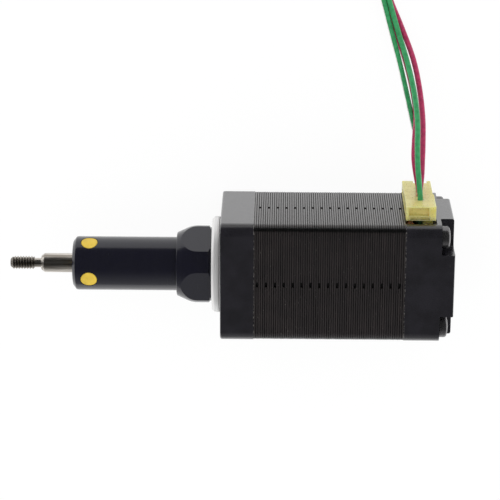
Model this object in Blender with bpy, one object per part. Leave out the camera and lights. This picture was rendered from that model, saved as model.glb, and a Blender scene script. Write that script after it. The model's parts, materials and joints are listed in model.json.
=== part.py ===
"""A captive linear stepper actuator: a 20 mm square hybrid stepper motor whose lead screw pushes a guided rod.

The motor lies on one face. Its shaft points along -X, its plug faces +Y, and the surface that it lies on is
Z = 0. Places along the shaft are distances behind the front mounting face, in millimetres, so the rod's are
negative. Across the shaft, y and z are distances from the shaft's axis.
"""

import math

import bmesh
import bpy
from mathutils import Matrix, Vector

MM = 0.001
GAP = 0.3  # left between pieces that touch

# The frame
SQUARE = 20.0
CORNER_RADIUS = 1.8
MOTOR_LENGTH = 38.0
FRONT_FACE = -MOTOR_LENGTH / 2  # X of the front mounting face
AXIS_HEIGHT = SQUARE / 2

# The motor's casing
FRONT_CAP_LENGTH = 5.5
REAR_CAP_LENGTH = 8.0
STACK_END = MOTOR_LENGTH - REAR_CAP_LENGTH
SCREW_SPACING = 15.4
SCREW_RADIUS = 1.0
SCREW_HOLE_RADIUS = SCREW_RADIUS + GAP
TAPPED_RADIUS = 0.9
HEAD_RADIUS = 1.85
HEAD_HEIGHT = 1.3
HEAD_ROUNDING = 0.3
DRIVE_SIZE = 0.6  # the driver hole's radius and depth
POCKET_SIDE = 4.7
POCKET_DEPTH = 2.2
SCREW_TIP = 2.8
FRONT_BORE = 2.5
SEAT_RADIUS = 5.3
SEAT_WALL_RADIUS = 6.2
CAVITY_RADIUS = 8.8
SEAT_WALL_SHORT = 0.9  # how far a bearing seat's wall stops short of the stack
FRONT_CAVITY = 3.3  # where the coils' end turns have room in the front cap
REAR_CAVITY = 33.4

# The pilot, the boss and the guide sleeve
PILOT_RADIUS = 7.95
PILOT_PROUD = 1.5
PILOT_RECESS = 0.5
BOSS_RADIUS = 6.4
BOSS_NOSE_RADIUS = 5.25
BOSS_NOSE = -7.35
BOSS_SHOULDER = -4.8
FLAT_DISTANCE = 5.6
FLAT_END = -1.6
FLAT_TURN = 67.0  # degrees from +Z towards +Y
SPIGOT_RADIUS = 5.6
SPIGOT_END = 1.4
SLEEVE_RADIUS = 4.45
SLEEVE_BORE = 3.3
SLEEVE_FRONT = -24.5
SLEEVE_REAR = -0.6
SLEEVE_CHAMFER = 0.7
SLOT_WIDTH = 1.8
SLOT_DEPTH = 3.9
BUSHING_REAR = -19.2
PLUG_PLACE = -21.75
PLUG_RADIUS = 1.35
PLUG_TURN = 70.5

# The rod, the lead screw and its drive
ROD_RADIUS = 1.5875
ROD_SHOULDER = -29.9
ROD_CHAMFER = 0.5
THREAD_RADIUS = 1.09
THREAD_ROOT = 0.75
THREAD_REAR = -31.0
ROD_TIP = -35.0
TIP_CHAMFER = 0.35
KEY_FRONT = -5.8
KEY_REAR = -1.8
KEY_RADIUS = 3.0
KEY_EAR_REACH = 3.6
KEY_EAR_ROOT = 2.4
KEY_EAR_WIDTH = 1.2
SCREW_SOCKET = 1.3  # how far the lead screw stands behind the key's front face
LEAD_SCREW_RADIUS = 1.75
LEAD_SCREW_END = 34.0
RUNNING_CLEARANCE = 0.1

# The rotor and its bearings
JOURNAL_RADIUS = 2.85
HUB_RADIUS = 3.5
CUP_RADIUS = 5.0
CUP_TEETH = 50
FRONT_CUP = (8.5, 16.3)
REAR_CUP = (19.2, 27.0)
MAGNET = (16.6, 18.9)
TOOTH_DEPTH = 0.3
AIR_GAP = 0.3
NUT_FRONT = 8.0
NUT_REAR = 20.0
INNER_RACE = 3.65
OUTER_RACE = 4.55
BEARING_RADIUS = 5.0
BEARING_WIDTH = 2.5
FRONT_BEARING = 2.6
REAR_BEARING = 31.4
BALL_RADIUS = 0.35
BALLS = 8
WASHER_BORE = 4.3
WASHER_THICKNESS = 0.15
WASHER_WAVES = 3

# The stator
POLES = 8
POLE_TEETH = 5
POLE_HALF_ANGLE = math.radians(17.0)
POLE_SHOE_RADIUS = 6.2
POLE_NECK = 2.2
SLOT_BOTTOM = 8.6
COIL_INNER_HALF_WIDTH = POLE_NECK / 2 + GAP
COIL_OUTER_HALF_WIDTH = 2.2
COIL_INNER_RADIUS = 6.6
COIL_OUTER_RADIUS = 7.95
COIL_WALL = 0.9
INSULATOR_THICKNESS = 0.3
INSULATOR_BORE = 5.6
FINGER_ROOT = 6.4
FINGER_REACH = 8.2

# The connector: its plug stands out of a window in the rear cap, on the +Y face
PLUG_HALF_LENGTH = 6.9
PLUG_FRONT = STACK_END + GAP / 2
PLUG_BACK = 34.9
PLUG_TOP = 12.55
PLUG_FOOT = 10.2
RECESS_FLOOR = 9.25
RECESS_HALF = 8.2
PLUG_INSERT_HALF = 5.2
PLUG_INSERT_FOOT = 7.7
HEADER_HALF = 5.6
HEADER_FRONT = 33.1
HEADER_BACK = 34.7
HEADER_FOOT = 6.6
HEADER_TOP = 7.4
BOARD = (32.4, 32.8)
PIN_RADIUS = 0.25
PIN_HOLE_RADIUS = 0.55
PIN_TOP = 9.6
PIN_PITCH = 2.0
CONTACTS = 4

# The leads
LEAD_RADIUS = 0.45
LEAD_STEP = 2.6  # between a tube's points
LEAD_PITCH = 0.95  # between leads that lie side by side
COIL_CENTRE = (-11.2, 62.5)
COIL_BOTTOM = 0.55
COIL_TOP = 4.2
COIL_HOLE = 9.2
COIL_EDGE = 13.9
TIE_WIDTH = 2.5
TIE_THICKNESS = 0.25
TIN_RADIUS = 0.3
TIN_LENGTH = 5.0
TIN_FIRST_RADIUS = 10.1
TIN_START = 150.0  # degrees round the coil from +X

# Each lead's route in the motor's frame, from the plug to the coil: X, Y and Z in millimetres
LEAD_ROUTES = {
    "lead_green": [
        (13.5, 12.85, 13.0), (13.2, 15.8, 13.0), (12.95, 18.4, 12.8), (12.85, 21.2, 12.1), (12.85, 25.1, 10.1),
        (12.3, 29.3, 7.2), (11.2, 33.6, 4.5), (9.7, 38.1, 2.3), (8.2, 43.0, 1.45), (6.6, 48.4, 1.44),
        (5.0, 53.6, 1.44), (3.3, 59.2, 1.44),
    ],
    "lead_red": [
        (13.5, 12.85, 11.0), (13.75, 15.8, 11.0), (13.8, 18.4, 10.8), (13.85, 21.2, 10.2), (13.8, 25.1, 8.5),
        (13.3, 29.3, 6.1), (12.3, 33.6, 3.6), (10.5, 38.1, 1.35), (8.4, 43.0, 0.52), (6.65, 48.4, 0.49),
        (5.0, 53.6, 0.49), (3.3, 59.2, 0.49),
    ],
    "lead_red_white": [
        (13.5, 12.85, 9.0), (12.9, 15.8, 9.0), (12.55, 18.4, 8.8), (12.6, 21.2, 8.2), (12.8, 25.1, 6.7),
        (12.1, 29.3, 4.5), (10.9, 33.6, 2.4), (9.2, 38.1, 0.9), (7.4, 43.0, 0.51), (5.65, 48.4, 0.49),
        (4.05, 53.6, 0.49), (2.84, 57.6, 0.49),
    ],
    "lead_green_white": [
        (13.5, 12.85, 7.0), (13.3, 15.8, 7.0), (13.1, 18.4, 6.9), (12.9, 21.2, 6.6), (12.0, 25.1, 6.2),
        (11.0, 29.3, 5.3), (9.9, 33.6, 3.6), (8.6, 38.1, 1.95), (7.25, 43.0, 1.45), (5.65, 48.4, 1.44),
        (4.05, 53.6, 1.44), (2.84, 57.6, 1.44),
    ],
}

FINE_STEPS = 40
ROUND_STEPS = 28
INNER_STEPS = 20
SCREW_STEPS = 12
PAST = 1.0  # how far a cutter runs past the face that it opens

FINISHES = {  # colour, roughness, metallic
    "black_paint": ((0.016, 0.016, 0.019), 0.45, 0.0),
    "black_anodised": ((0.018, 0.018, 0.024), 0.38, 0.3),
    "machined_aluminium": ((0.83, 0.83, 0.82), 0.3, 1.0),
    "stainless": ((0.58, 0.55, 0.5), 0.3, 1.0),
    "lamination_steel": ((0.035, 0.033, 0.033), 0.5, 0.5),
    "bearing_steel": ((0.6, 0.6, 0.6), 0.2, 1.0),
    "magnet": ((0.12, 0.12, 0.13), 0.4, 0.8),
    "copper": ((0.72, 0.3, 0.12), 0.35, 1.0),
    "yellow_plastic": ((0.72, 0.5, 0.04), 0.45, 0.0),
    "white_plastic": ((0.75, 0.74, 0.7), 0.5, 0.0),
    "nylon": ((0.78, 0.68, 0.3), 0.35, 0.0),
    "board": ((0.03, 0.18, 0.08), 0.5, 0.0),
    "brass": ((0.75, 0.58, 0.25), 0.3, 1.0),
    "green_insulation": ((0.02, 0.3, 0.1), 0.4, 0.0),
    "red_insulation": ((0.45, 0.03, 0.1), 0.4, 0.0),
    "tinned_copper": ((0.7, 0.7, 0.68), 0.35, 1.0),
    "tie_plastic": ((0.02, 0.02, 0.02), 0.5, 0.0),
}


def finish(name):
    material = bpy.data.materials.get(name)
    if material is None:
        colour, roughness, metallic = FINISHES[name]
        material = bpy.data.materials.new(name)
        material.use_nodes = True
        shader = material.node_tree.nodes["Principled BSDF"]
        shader.inputs["Base Color"].default_value = (*colour, 1.0)
        shader.inputs["Roughness"].default_value = roughness
        shader.inputs["Metallic"].default_value = metallic
    return material


def placed(name, mesh, finish_name, smooth=True):
    """An object of this mesh whose origin is where the shaft's axis meets the mounting face."""
    if smooth:
        mesh.shade_smooth()
        mesh.set_sharp_from_angle(angle=math.radians(35))
    piece = bpy.data.objects.new(name, mesh)
    bpy.context.scene.collection.objects.link(piece)
    piece.location = (FRONT_FACE * MM, 0, AXIS_HEIGHT * MM)
    if finish_name:
        mesh.materials.append(finish(finish_name))
    return piece


def mesh_from(name, work):
    bmesh.ops.recalc_face_normals(work, faces=work.faces)
    mesh = bpy.data.meshes.new(name)
    work.to_mesh(mesh)
    work.free()
    return mesh


def turned_mesh(name, profile, steps):
    """Turns (x, radius) points about the X axis. A profile that starts off the axis closes into a ring."""
    work = bmesh.new()
    points = [work.verts.new((x * MM, 0, radius * MM)) for x, radius in profile]
    edges = [work.edges.new(pair) for pair in zip(points, points[1:])]
    if profile[0][1] > 0:
        edges.append(work.edges.new((points[-1], points[0])))
    bmesh.ops.spin(
        work, geom=points + edges, cent=(0, 0, 0), axis=(1, 0, 0), angle=math.tau, steps=steps, use_merge=True
    )
    bmesh.ops.remove_doubles(work, verts=work.verts, dist=1e-7)
    return mesh_from(name, work)


def turned(name, profile, finish_name, steps=ROUND_STEPS):
    return placed(name, turned_mesh(name, profile, steps), finish_name)


def ring(name, start, end, inner, outer, finish_name, steps=INNER_STEPS):
    return turned(name, [(start, inner), (start, outer), (end, outer), (end, inner)], finish_name, steps)


def prism_mesh(name, outline, start, end):
    """Extrudes an outline of (y, z) points along X."""
    work = bmesh.new()
    face = work.faces.new([work.verts.new((start * MM, y * MM, z * MM)) for y, z in outline])
    grown = bmesh.ops.extrude_face_region(work, geom=[face])
    moved = [item for item in grown["geom"] if isinstance(item, bmesh.types.BMVert)]
    bmesh.ops.translate(work, verts=moved, vec=((end - start) * MM, 0, 0))
    return mesh_from(name, work)


def box_mesh(name, low, high):
    outline = [(low[1], low[2]), (high[1], low[2]), (high[1], high[2]), (low[1], high[2])]
    return prism_mesh(name, outline, low[0], high[0])


def rounded_square(side, radius, steps=5):
    """The casing's outline, corner by corner."""
    outline = []
    for quarter in range(4):
        middle = math.pi / 4 + quarter * math.pi / 2
        reach = (side / 2 - radius) * math.sqrt(2)
        for step in range(steps + 1):
            angle = quarter * math.pi / 2 + step / steps * math.pi / 2
            outline.append((
                reach * math.cos(middle) + radius * math.cos(angle),
                reach * math.sin(middle) + radius * math.sin(angle),
            ))
    return outline


def combine(piece, other, operation):
    """Adds or takes away a helper's shape, and hides the helper."""
    other.hide_render = True
    other.display_type = "WIRE"
    change = piece.modifiers.new(other.name, "BOOLEAN")
    change.object = other
    change.operation = operation
    change.solver = "EXACT"


def cut(piece, *meshes):
    for mesh in meshes:
        combine(piece, placed(f"{piece.name}_cutter_{mesh.name}", mesh, None, False), "DIFFERENCE")


def corner_places():
    half = SCREW_SPACING / 2
    return [(half, half), (-half, half), (-half, -half), (half, -half)]


def screw_hole(profile, y, z):
    mesh = turned_mesh("hole", profile, SCREW_STEPS)
    mesh.transform(Matrix.Translation((0, y * MM, z * MM)))
    return mesh


def radial(mesh, place, turn):
    """Stands a mesh made along X out of the axis, at this distance along the shaft and this turn from +Z."""
    upright = Matrix.Rotation(-math.pi / 2, 4, "Y")
    mesh.transform(Matrix.Translation((place * MM, 0, 0)) @ Matrix.Rotation(-math.radians(turn), 4, "X") @ upright)
    return mesh


def make_front_cap():
    cap = placed(
        "front_cap",
        prism_mesh("front_cap", rounded_square(SQUARE, CORNER_RADIUS), 0, FRONT_CAP_LENGTH - GAP / 2),
        "black_paint", False,
    )
    seat_wall_end = FRONT_CAP_LENGTH - SEAT_WALL_SHORT
    hollow = [
        (-PAST, 0), (-PAST, PILOT_RADIUS + GAP), (PILOT_RECESS, PILOT_RADIUS + GAP),
        (PILOT_RECESS, SPIGOT_RADIUS + GAP), (SPIGOT_END + GAP, SPIGOT_RADIUS + GAP),
        (SPIGOT_END + GAP, FRONT_BORE), (FRONT_BEARING - GAP, FRONT_BORE),
        (FRONT_BEARING - GAP, SEAT_RADIUS), (seat_wall_end, SEAT_RADIUS), (seat_wall_end, SEAT_WALL_RADIUS),
        (FRONT_CAVITY, SEAT_WALL_RADIUS), (FRONT_CAVITY, CAVITY_RADIUS),
        (FRONT_CAP_LENGTH + PAST, CAVITY_RADIUS), (FRONT_CAP_LENGTH + PAST, 0),
    ]
    stepped = [
        (-PAST, 0), (-PAST, TAPPED_RADIUS), (SCREW_TIP - GAP, TAPPED_RADIUS), (SCREW_TIP - GAP, SCREW_HOLE_RADIUS),
        (FRONT_CAP_LENGTH + PAST, SCREW_HOLE_RADIUS), (FRONT_CAP_LENGTH + PAST, 0),
    ]
    cut(cap, turned_mesh("hollow", hollow, ROUND_STEPS), *[screw_hole(stepped, y, z) for y, z in corner_places()])


def make_rear_cap():
    start = STACK_END + GAP / 2
    cap = placed(
        "rear_cap",
        prism_mesh("rear_cap", rounded_square(SQUARE, CORNER_RADIUS), start, MOTOR_LENGTH),
        "black_paint", False,
    )
    wall_start = STACK_END + SEAT_WALL_SHORT
    floor = REAR_BEARING + BEARING_WIDTH + 1.1
    hollow = [
        (STACK_END - PAST, 0), (STACK_END - PAST, CAVITY_RADIUS), (REAR_CAVITY, CAVITY_RADIUS),
        (REAR_CAVITY, SEAT_WALL_RADIUS), (wall_start, SEAT_WALL_RADIUS), (wall_start, SEAT_RADIUS),
        (floor, SEAT_RADIUS), (floor, 0),
    ]
    through = [
        (STACK_END - PAST, 0), (STACK_END - PAST, SCREW_HOLE_RADIUS), (MOTOR_LENGTH + PAST, SCREW_HOLE_RADIUS),
        (MOTOR_LENGTH + PAST, 0),
    ]
    half = SQUARE / 2
    inner = half - POCKET_SIDE
    pockets = [
        box_mesh(
            "pocket",
            (MOTOR_LENGTH - POCKET_DEPTH, min(inner * sy, (half + PAST) * sy), min(inner * sz, (half + PAST) * sz)),
            (MOTOR_LENGTH + PAST, max(inner * sy, (half + PAST) * sy), max(inner * sz, (half + PAST) * sz)),
        )
        for sy in (-1, 1) for sz in (-1, 1)
    ]
    window = box_mesh(
        "window", (STACK_END - PAST, SEAT_WALL_RADIUS + 0.1, -HEADER_HALF - GAP),
        (HEADER_BACK + GAP, half + PAST, HEADER_HALF + GAP),
    )
    recess = box_mesh(
        "recess", (STACK_END - PAST, RECESS_FLOOR, -RECESS_HALF), (PLUG_BACK + GAP, half + PAST, RECESS_HALF),
    )
    cut(
        cap, turned_mesh("hollow", hollow, ROUND_STEPS), *[screw_hole(through, y, z) for y, z in corner_places()],
        *pockets, window, recess,
    )


def make_pilot_and_boss():
    recess = PILOT_RECESS - GAP
    turned("pilot_ring", [
        (recess, BOSS_RADIUS + GAP), (-PILOT_PROUD, BOSS_RADIUS + GAP), (-PILOT_PROUD, PILOT_RADIUS - 0.35),
        (-PILOT_PROUD + 0.35, PILOT_RADIUS), (recess, PILOT_RADIUS),
    ], "machined_aluminium", FINE_STEPS)
    bore = SLEEVE_RADIUS + GAP
    boss = turned("sleeve_boss", [
        (SPIGOT_END, bore), (BOSS_NOSE, bore), (BOSS_NOSE, BOSS_NOSE_RADIUS), (BOSS_SHOULDER, BOSS_RADIUS),
        (recess, BOSS_RADIUS), (recess, SPIGOT_RADIUS), (SPIGOT_END, SPIGOT_RADIUS),
    ], "black_anodised", FINE_STEPS)
    flats = []
    for quarter in range(4):
        flat = box_mesh(
            f"flat_{quarter}", (BOSS_NOSE - PAST, -BOSS_RADIUS, FLAT_DISTANCE),
            (FLAT_END, BOSS_RADIUS, BOSS_RADIUS + PAST),
        )
        flat.transform(Matrix.Rotation(-math.radians(FLAT_TURN + 90 * quarter), 4, "X"))
        flats.append(flat)
    cut(boss, *flats)


def make_sleeve():
    sleeve = turned("guide_sleeve", [
        (SLEEVE_REAR, SLEEVE_BORE), (SLEEVE_FRONT, SLEEVE_BORE), (SLEEVE_FRONT, SLEEVE_RADIUS - SLEEVE_CHAMFER),
        (SLEEVE_FRONT + SLEEVE_CHAMFER, SLEEVE_RADIUS), (SLEEVE_REAR, SLEEVE_RADIUS),
    ], "black_anodised", FINE_STEPS)
    slots = box_mesh(
        "slots", (BUSHING_REAR + GAP, -SLOT_WIDTH / 2, -SLOT_DEPTH),
        (SLEEVE_REAR + PAST, SLOT_WIDTH / 2, SLOT_DEPTH),
    )
    low, high = SLEEVE_BORE - PAST, SLEEVE_RADIUS + PAST
    hole = [(low, 0), (low, PLUG_RADIUS + GAP), (high, PLUG_RADIUS + GAP), (high, 0)]
    holes = [
        radial(turned_mesh(f"plug_hole_{quarter}", hole, SCREW_STEPS), PLUG_PLACE, PLUG_TURN + 90 * quarter)
        for quarter in range(4)
    ]
    cut(sleeve, slots, *holes)
    ring(
        "guide_bushing", SLEEVE_FRONT + GAP, BUSHING_REAR, ROD_RADIUS + RUNNING_CLEARANCE, SLEEVE_BORE - GAP,
        "yellow_plastic",
    )
    for quarter in range(4):
        make_guide_plug(quarter)


def make_guide_plug(quarter):
    """A plastic plug in the sleeve's wall, its outer face flush with the tube."""
    mesh = turned_mesh(f"guide_plug_{quarter + 1}", [
        (SLEEVE_BORE, 0), (SLEEVE_BORE, PLUG_RADIUS), (SLEEVE_RADIUS, PLUG_RADIUS), (SLEEVE_RADIUS, PLUG_RADIUS / 2),
        (SLEEVE_RADIUS, 0),
    ], SCREW_STEPS)
    for vertex in mesh.vertices:
        if vertex.co.x > (SLEEVE_RADIUS - 0.01) * MM:
            vertex.co.x = math.sqrt((SLEEVE_RADIUS * MM) ** 2 - vertex.co.y ** 2)
    placed(f"guide_plug_{quarter + 1}", radial(mesh, PLUG_PLACE, PLUG_TURN + 90 * quarter), "yellow_plastic")


def make_rod():
    turned("output_shaft", [
        (KEY_FRONT - GAP, 0), (KEY_FRONT - GAP, ROD_RADIUS), (ROD_SHOULDER + ROD_CHAMFER, ROD_RADIUS),
        (ROD_SHOULDER, ROD_RADIUS - ROD_CHAMFER), (ROD_SHOULDER, THREAD_ROOT), (THREAD_REAR, THREAD_ROOT),
        (THREAD_REAR, THREAD_RADIUS), (ROD_TIP + TIP_CHAMFER, THREAD_RADIUS),
        (ROD_TIP, THREAD_RADIUS - TIP_CHAMFER), (ROD_TIP, 0),
    ], "stainless")
    bore_depth = KEY_FRONT + SCREW_SOCKET
    key = turned("anti_rotation_key", [
        (KEY_FRONT, 0), (KEY_FRONT, KEY_RADIUS), (KEY_REAR, KEY_RADIUS), (KEY_REAR, LEAD_SCREW_RADIUS + GAP),
        (bore_depth, LEAD_SCREW_RADIUS + GAP), (bore_depth, 0),
    ], "white_plastic", INNER_STEPS)
    ears = [
        box_mesh(
            f"ear_{side}", (KEY_FRONT, -KEY_EAR_WIDTH / 2, min(KEY_EAR_ROOT * side, KEY_EAR_REACH * side)),
            (KEY_REAR, KEY_EAR_WIDTH / 2, max(KEY_EAR_ROOT * side, KEY_EAR_REACH * side)),
        )
        for side in (-1, 1)
    ]
    for ear in ears:
        combine(key, placed(f"key_{ear.name}", ear, None, False), "UNION")
    turned("lead_screw", [
        (bore_depth + GAP, 0), (bore_depth + GAP, LEAD_SCREW_RADIUS), (LEAD_SCREW_END, LEAD_SCREW_RADIUS),
        (LEAD_SCREW_END, 0),
    ], "stainless", INNER_STEPS)


def toothed_circle(radius, depth, teeth):
    """A circle with square teeth, as (y, z) points."""
    outline = []
    for tooth in range(teeth):
        for share, reach in ((-0.3, radius - depth), (-0.2, radius), (0.2, radius), (0.3, radius - depth)):
            angle = (tooth + share) * math.tau / teeth
            outline.append((reach * math.cos(angle), reach * math.sin(angle)))
    return outline


def make_rotor():
    bore = LEAD_SCREW_RADIUS + 0.4
    hub_bore = HUB_RADIUS - 0.5
    front, rear = FRONT_BEARING, REAR_BEARING + BEARING_WIDTH
    turned("rotor_shaft", [
        (front, bore), (front, JOURNAL_RADIUS), (front + BEARING_WIDTH + GAP, JOURNAL_RADIUS),
        (front + BEARING_WIDTH + GAP, HUB_RADIUS), (REAR_BEARING - GAP, HUB_RADIUS),
        (REAR_BEARING - GAP, JOURNAL_RADIUS), (rear, JOURNAL_RADIUS), (rear, bore), (NUT_REAR + GAP, bore),
        (NUT_REAR + GAP, hub_bore),
        (NUT_FRONT - GAP, hub_bore), (NUT_FRONT - GAP, bore),
    ], "stainless", INNER_STEPS)
    ring(
        "rotor_nut", NUT_FRONT, NUT_REAR, LEAD_SCREW_RADIUS + 2 * RUNNING_CLEARANCE, hub_bore - GAP,
        "white_plastic",
    )
    for name, (start, end), turn in (("rotor_cup_front", FRONT_CUP, 0.0), ("rotor_cup_rear", REAR_CUP, 0.5)):
        mesh = prism_mesh(name, toothed_circle(CUP_RADIUS, TOOTH_DEPTH, CUP_TEETH), start, end)
        mesh.transform(Matrix.Rotation(turn * math.tau / CUP_TEETH, 4, "X"))
        cup = placed(name, mesh, "lamination_steel", False)
        low, high = start - PAST, end + PAST
        hole = [(low, 0), (low, HUB_RADIUS + GAP), (high, HUB_RADIUS + GAP), (high, 0)]
        cut(cup, turned_mesh("bore", hole, INNER_STEPS))
    ring("rotor_magnet", *MAGNET, HUB_RADIUS + GAP, CUP_RADIUS - TOOTH_DEPTH, "magnet")


def make_bearing(name, start):
    end = start + BEARING_WIDTH
    ring(f"{name}_outer", start, end, OUTER_RACE, BEARING_RADIUS, "bearing_steel")
    ring(f"{name}_inner", start, end, JOURNAL_RADIUS + GAP, INNER_RACE, "bearing_steel")
    middle = (start + end) / 2
    pitch = (INNER_RACE + OUTER_RACE) / 2
    cage = ring(f"{name}_cage", middle - 0.4, middle + 0.4, pitch - 0.1, pitch + 0.1, "brass")
    balls = bmesh.new()
    for ball in range(BALLS):
        angle = ball * math.tau / BALLS
        place = Vector((middle, pitch * math.cos(angle), pitch * math.sin(angle))) * MM
        bmesh.ops.create_uvsphere(
            balls, u_segments=8, v_segments=5, radius=BALL_RADIUS * MM, matrix=Matrix.Translation(place)
        )
    combine(cage, placed(f"{name}_balls", mesh_from(f"{name}_balls", balls), None, False), "UNION")


def make_wave_washer():
    """A thin ring in three waves, which presses the rear bearing forwards."""
    start = REAR_BEARING + BEARING_WIDTH + GAP
    mesh = turned_mesh("wave_washer", [
        (0, WASHER_BORE), (0, BEARING_RADIUS), (WASHER_THICKNESS, BEARING_RADIUS),
        (WASHER_THICKNESS, WASHER_BORE),
    ], 36)
    for vertex in mesh.vertices:
        angle = math.atan2(vertex.co.z, vertex.co.y)
        vertex.co.x += (start + WASHER_THICKNESS * (1 + math.cos(WASHER_WAVES * angle))) * MM
    placed("wave_washer", mesh, "stainless")


def stator_hollow():
    """The empty space between the poles: the toothed bore, and a slot between each pole and the next."""
    outline = []
    bore = CUP_RADIUS + AIR_GAP
    for pole in range(POLES):
        middle = pole * math.tau / POLES
        pitch = 2 * POLE_HALF_ANGLE / POLE_TEETH
        arc = [(middle - POLE_HALF_ANGLE, POLE_SHOE_RADIUS)]
        for tooth in range(POLE_TEETH):
            start = middle - POLE_HALF_ANGLE + tooth * pitch
            arc += [(start, bore), (start + 0.6 * pitch, bore)]
            if tooth < POLE_TEETH - 1:
                arc += [(start + 0.6 * pitch, bore + TOOTH_DEPTH), (start + pitch, bore + TOOTH_DEPTH)]
        arc.append((middle + POLE_HALF_ANGLE, POLE_SHOE_RADIUS))
        neck = POLE_NECK / 2
        foot = math.sqrt(SLOT_BOTTOM**2 - neck**2)
        shoe = math.sqrt(POLE_SHOE_RADIUS**2 - neck**2)
        foot_turn, shoe_turn = math.atan2(neck, foot), math.atan2(neck, shoe)
        before = [(middle - foot_turn, SLOT_BOTTOM), (middle - shoe_turn, POLE_SHOE_RADIUS)]
        after = [(middle + shoe_turn, POLE_SHOE_RADIUS), (middle + foot_turn, SLOT_BOTTOM)]
        half_slot = math.pi / POLES - foot_turn
        bottom = [(after[-1][0] + share * half_slot, SLOT_BOTTOM) for share in (0.5, 1.0, 1.5)]
        outline += before + arc + after + bottom
    return [(radius * math.cos(angle), radius * math.sin(angle)) for angle, radius in outline]


def make_stator():
    start, end = FRONT_CAP_LENGTH + GAP / 2, STACK_END - GAP / 2
    stack = placed(
        "stator_stack", prism_mesh("stator_stack", rounded_square(SQUARE, CORNER_RADIUS), start, end),
        "lamination_steel", False,
    )
    through = [
        (start - PAST, 0), (start - PAST, SCREW_HOLE_RADIUS), (end + PAST, SCREW_HOLE_RADIUS), (end + PAST, 0)
    ]
    cut(
        stack, prism_mesh("hollow", stator_hollow(), start - PAST, end + PAST),
        *[screw_hole(through, y, z) for y, z in corner_places()],
    )
    pad = GAP + INSULATOR_THICKNESS
    for name, low in (("insulator_front", start - pad), ("insulator_rear", end + GAP)):
        placed(name, insulator_mesh(name, low, low + INSULATOR_THICKNESS), "white_plastic", False)
    inner_low, inner_high = start - pad - GAP, end + pad + GAP
    for pole in range(POLES):
        name = f"stator_coil_{pole + 1}"
        outer = box_mesh(
            name, (inner_low - COIL_WALL, -COIL_OUTER_HALF_WIDTH, COIL_INNER_RADIUS),
            (inner_high + COIL_WALL, COIL_OUTER_HALF_WIDTH, COIL_OUTER_RADIUS),
        )
        inner = box_mesh(
            "pole", (inner_low, -COIL_INNER_HALF_WIDTH, COIL_INNER_RADIUS - PAST),
            (inner_high, COIL_INNER_HALF_WIDTH, COIL_OUTER_RADIUS + PAST),
        )
        turn = Matrix.Rotation(math.pi / 2 + pole * math.tau / POLES, 4, "X")
        outer.transform(turn)
        inner.transform(turn)
        cut(placed(name, outer, "copper", False), inner)


def insulator_mesh(name, low, high):
    """A thin ring with a finger over each pole, under the coil's end turns."""
    outline = []
    half = POLE_NECK / 2
    root, reach = FINGER_ROOT, FINGER_REACH
    for pole in range(POLES):
        middle = pole * math.tau / POLES
        spread = math.asin(half / root)
        tip = math.asin(half / reach)
        outline += [(middle - spread, root), (middle - tip, reach), (middle + tip, reach), (middle + spread, root)]
    points = [(radius * math.cos(angle), radius * math.sin(angle)) for angle, radius in outline]
    work = bmesh.new()
    loops = []
    for x in (low, high):
        outer = [work.verts.new((x * MM, y * MM, z * MM)) for y, z in points]
        inner = [
            work.verts.new(Vector((x, INSULATOR_BORE * math.cos(angle), INSULATOR_BORE * math.sin(angle))) * MM)
            for angle, _ in outline
        ]
        loops.append((outer, inner))
    count = len(outline)
    for here in range(count):
        there = (here + 1) % count
        (outer_a, inner_a), (outer_b, inner_b) = loops
        work.faces.new((outer_a[here], outer_a[there], inner_a[there], inner_a[here]))
        work.faces.new((outer_b[here], inner_b[here], inner_b[there], outer_b[there]))
        work.faces.new((outer_a[here], outer_b[here], outer_b[there], outer_a[there]))
        work.faces.new((inner_a[here], inner_a[there], inner_b[there], inner_b[here]))
    return mesh_from(name, work)


def make_assembly_screws():
    head_start = MOTOR_LENGTH - POCKET_DEPTH + GAP
    head_end = head_start + HEAD_HEIGHT
    profile = [
        (SCREW_TIP, 0), (SCREW_TIP, SCREW_RADIUS), (head_start, SCREW_RADIUS), (head_start, HEAD_RADIUS),
        (head_end - HEAD_ROUNDING, HEAD_RADIUS), (head_end, HEAD_RADIUS - HEAD_ROUNDING),
        (head_end, DRIVE_SIZE), (head_end - DRIVE_SIZE, DRIVE_SIZE), (head_end - DRIVE_SIZE, 0),
    ]
    for number, (y, z) in enumerate(corner_places(), 1):
        screw = turned(f"assembly_screw_{number}", profile, "stainless", SCREW_STEPS)
        screw.location += Vector((0, y, z)) * MM


def contact_heights():
    return [(CONTACTS - 1) / 2 * PIN_PITCH - contact * PIN_PITCH for contact in range(CONTACTS)]


def upright_rod(name, x, z, low, high, radius):
    """A round cutter or pin along Y."""
    mesh = turned_mesh(name, [(low, 0), (low, radius), (high, radius), (high, 0)], 12)
    mesh.transform(Matrix.Translation((x * MM, 0, z * MM)) @ Matrix.Rotation(math.pi / 2, 4, "Z"))
    return mesh


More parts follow.
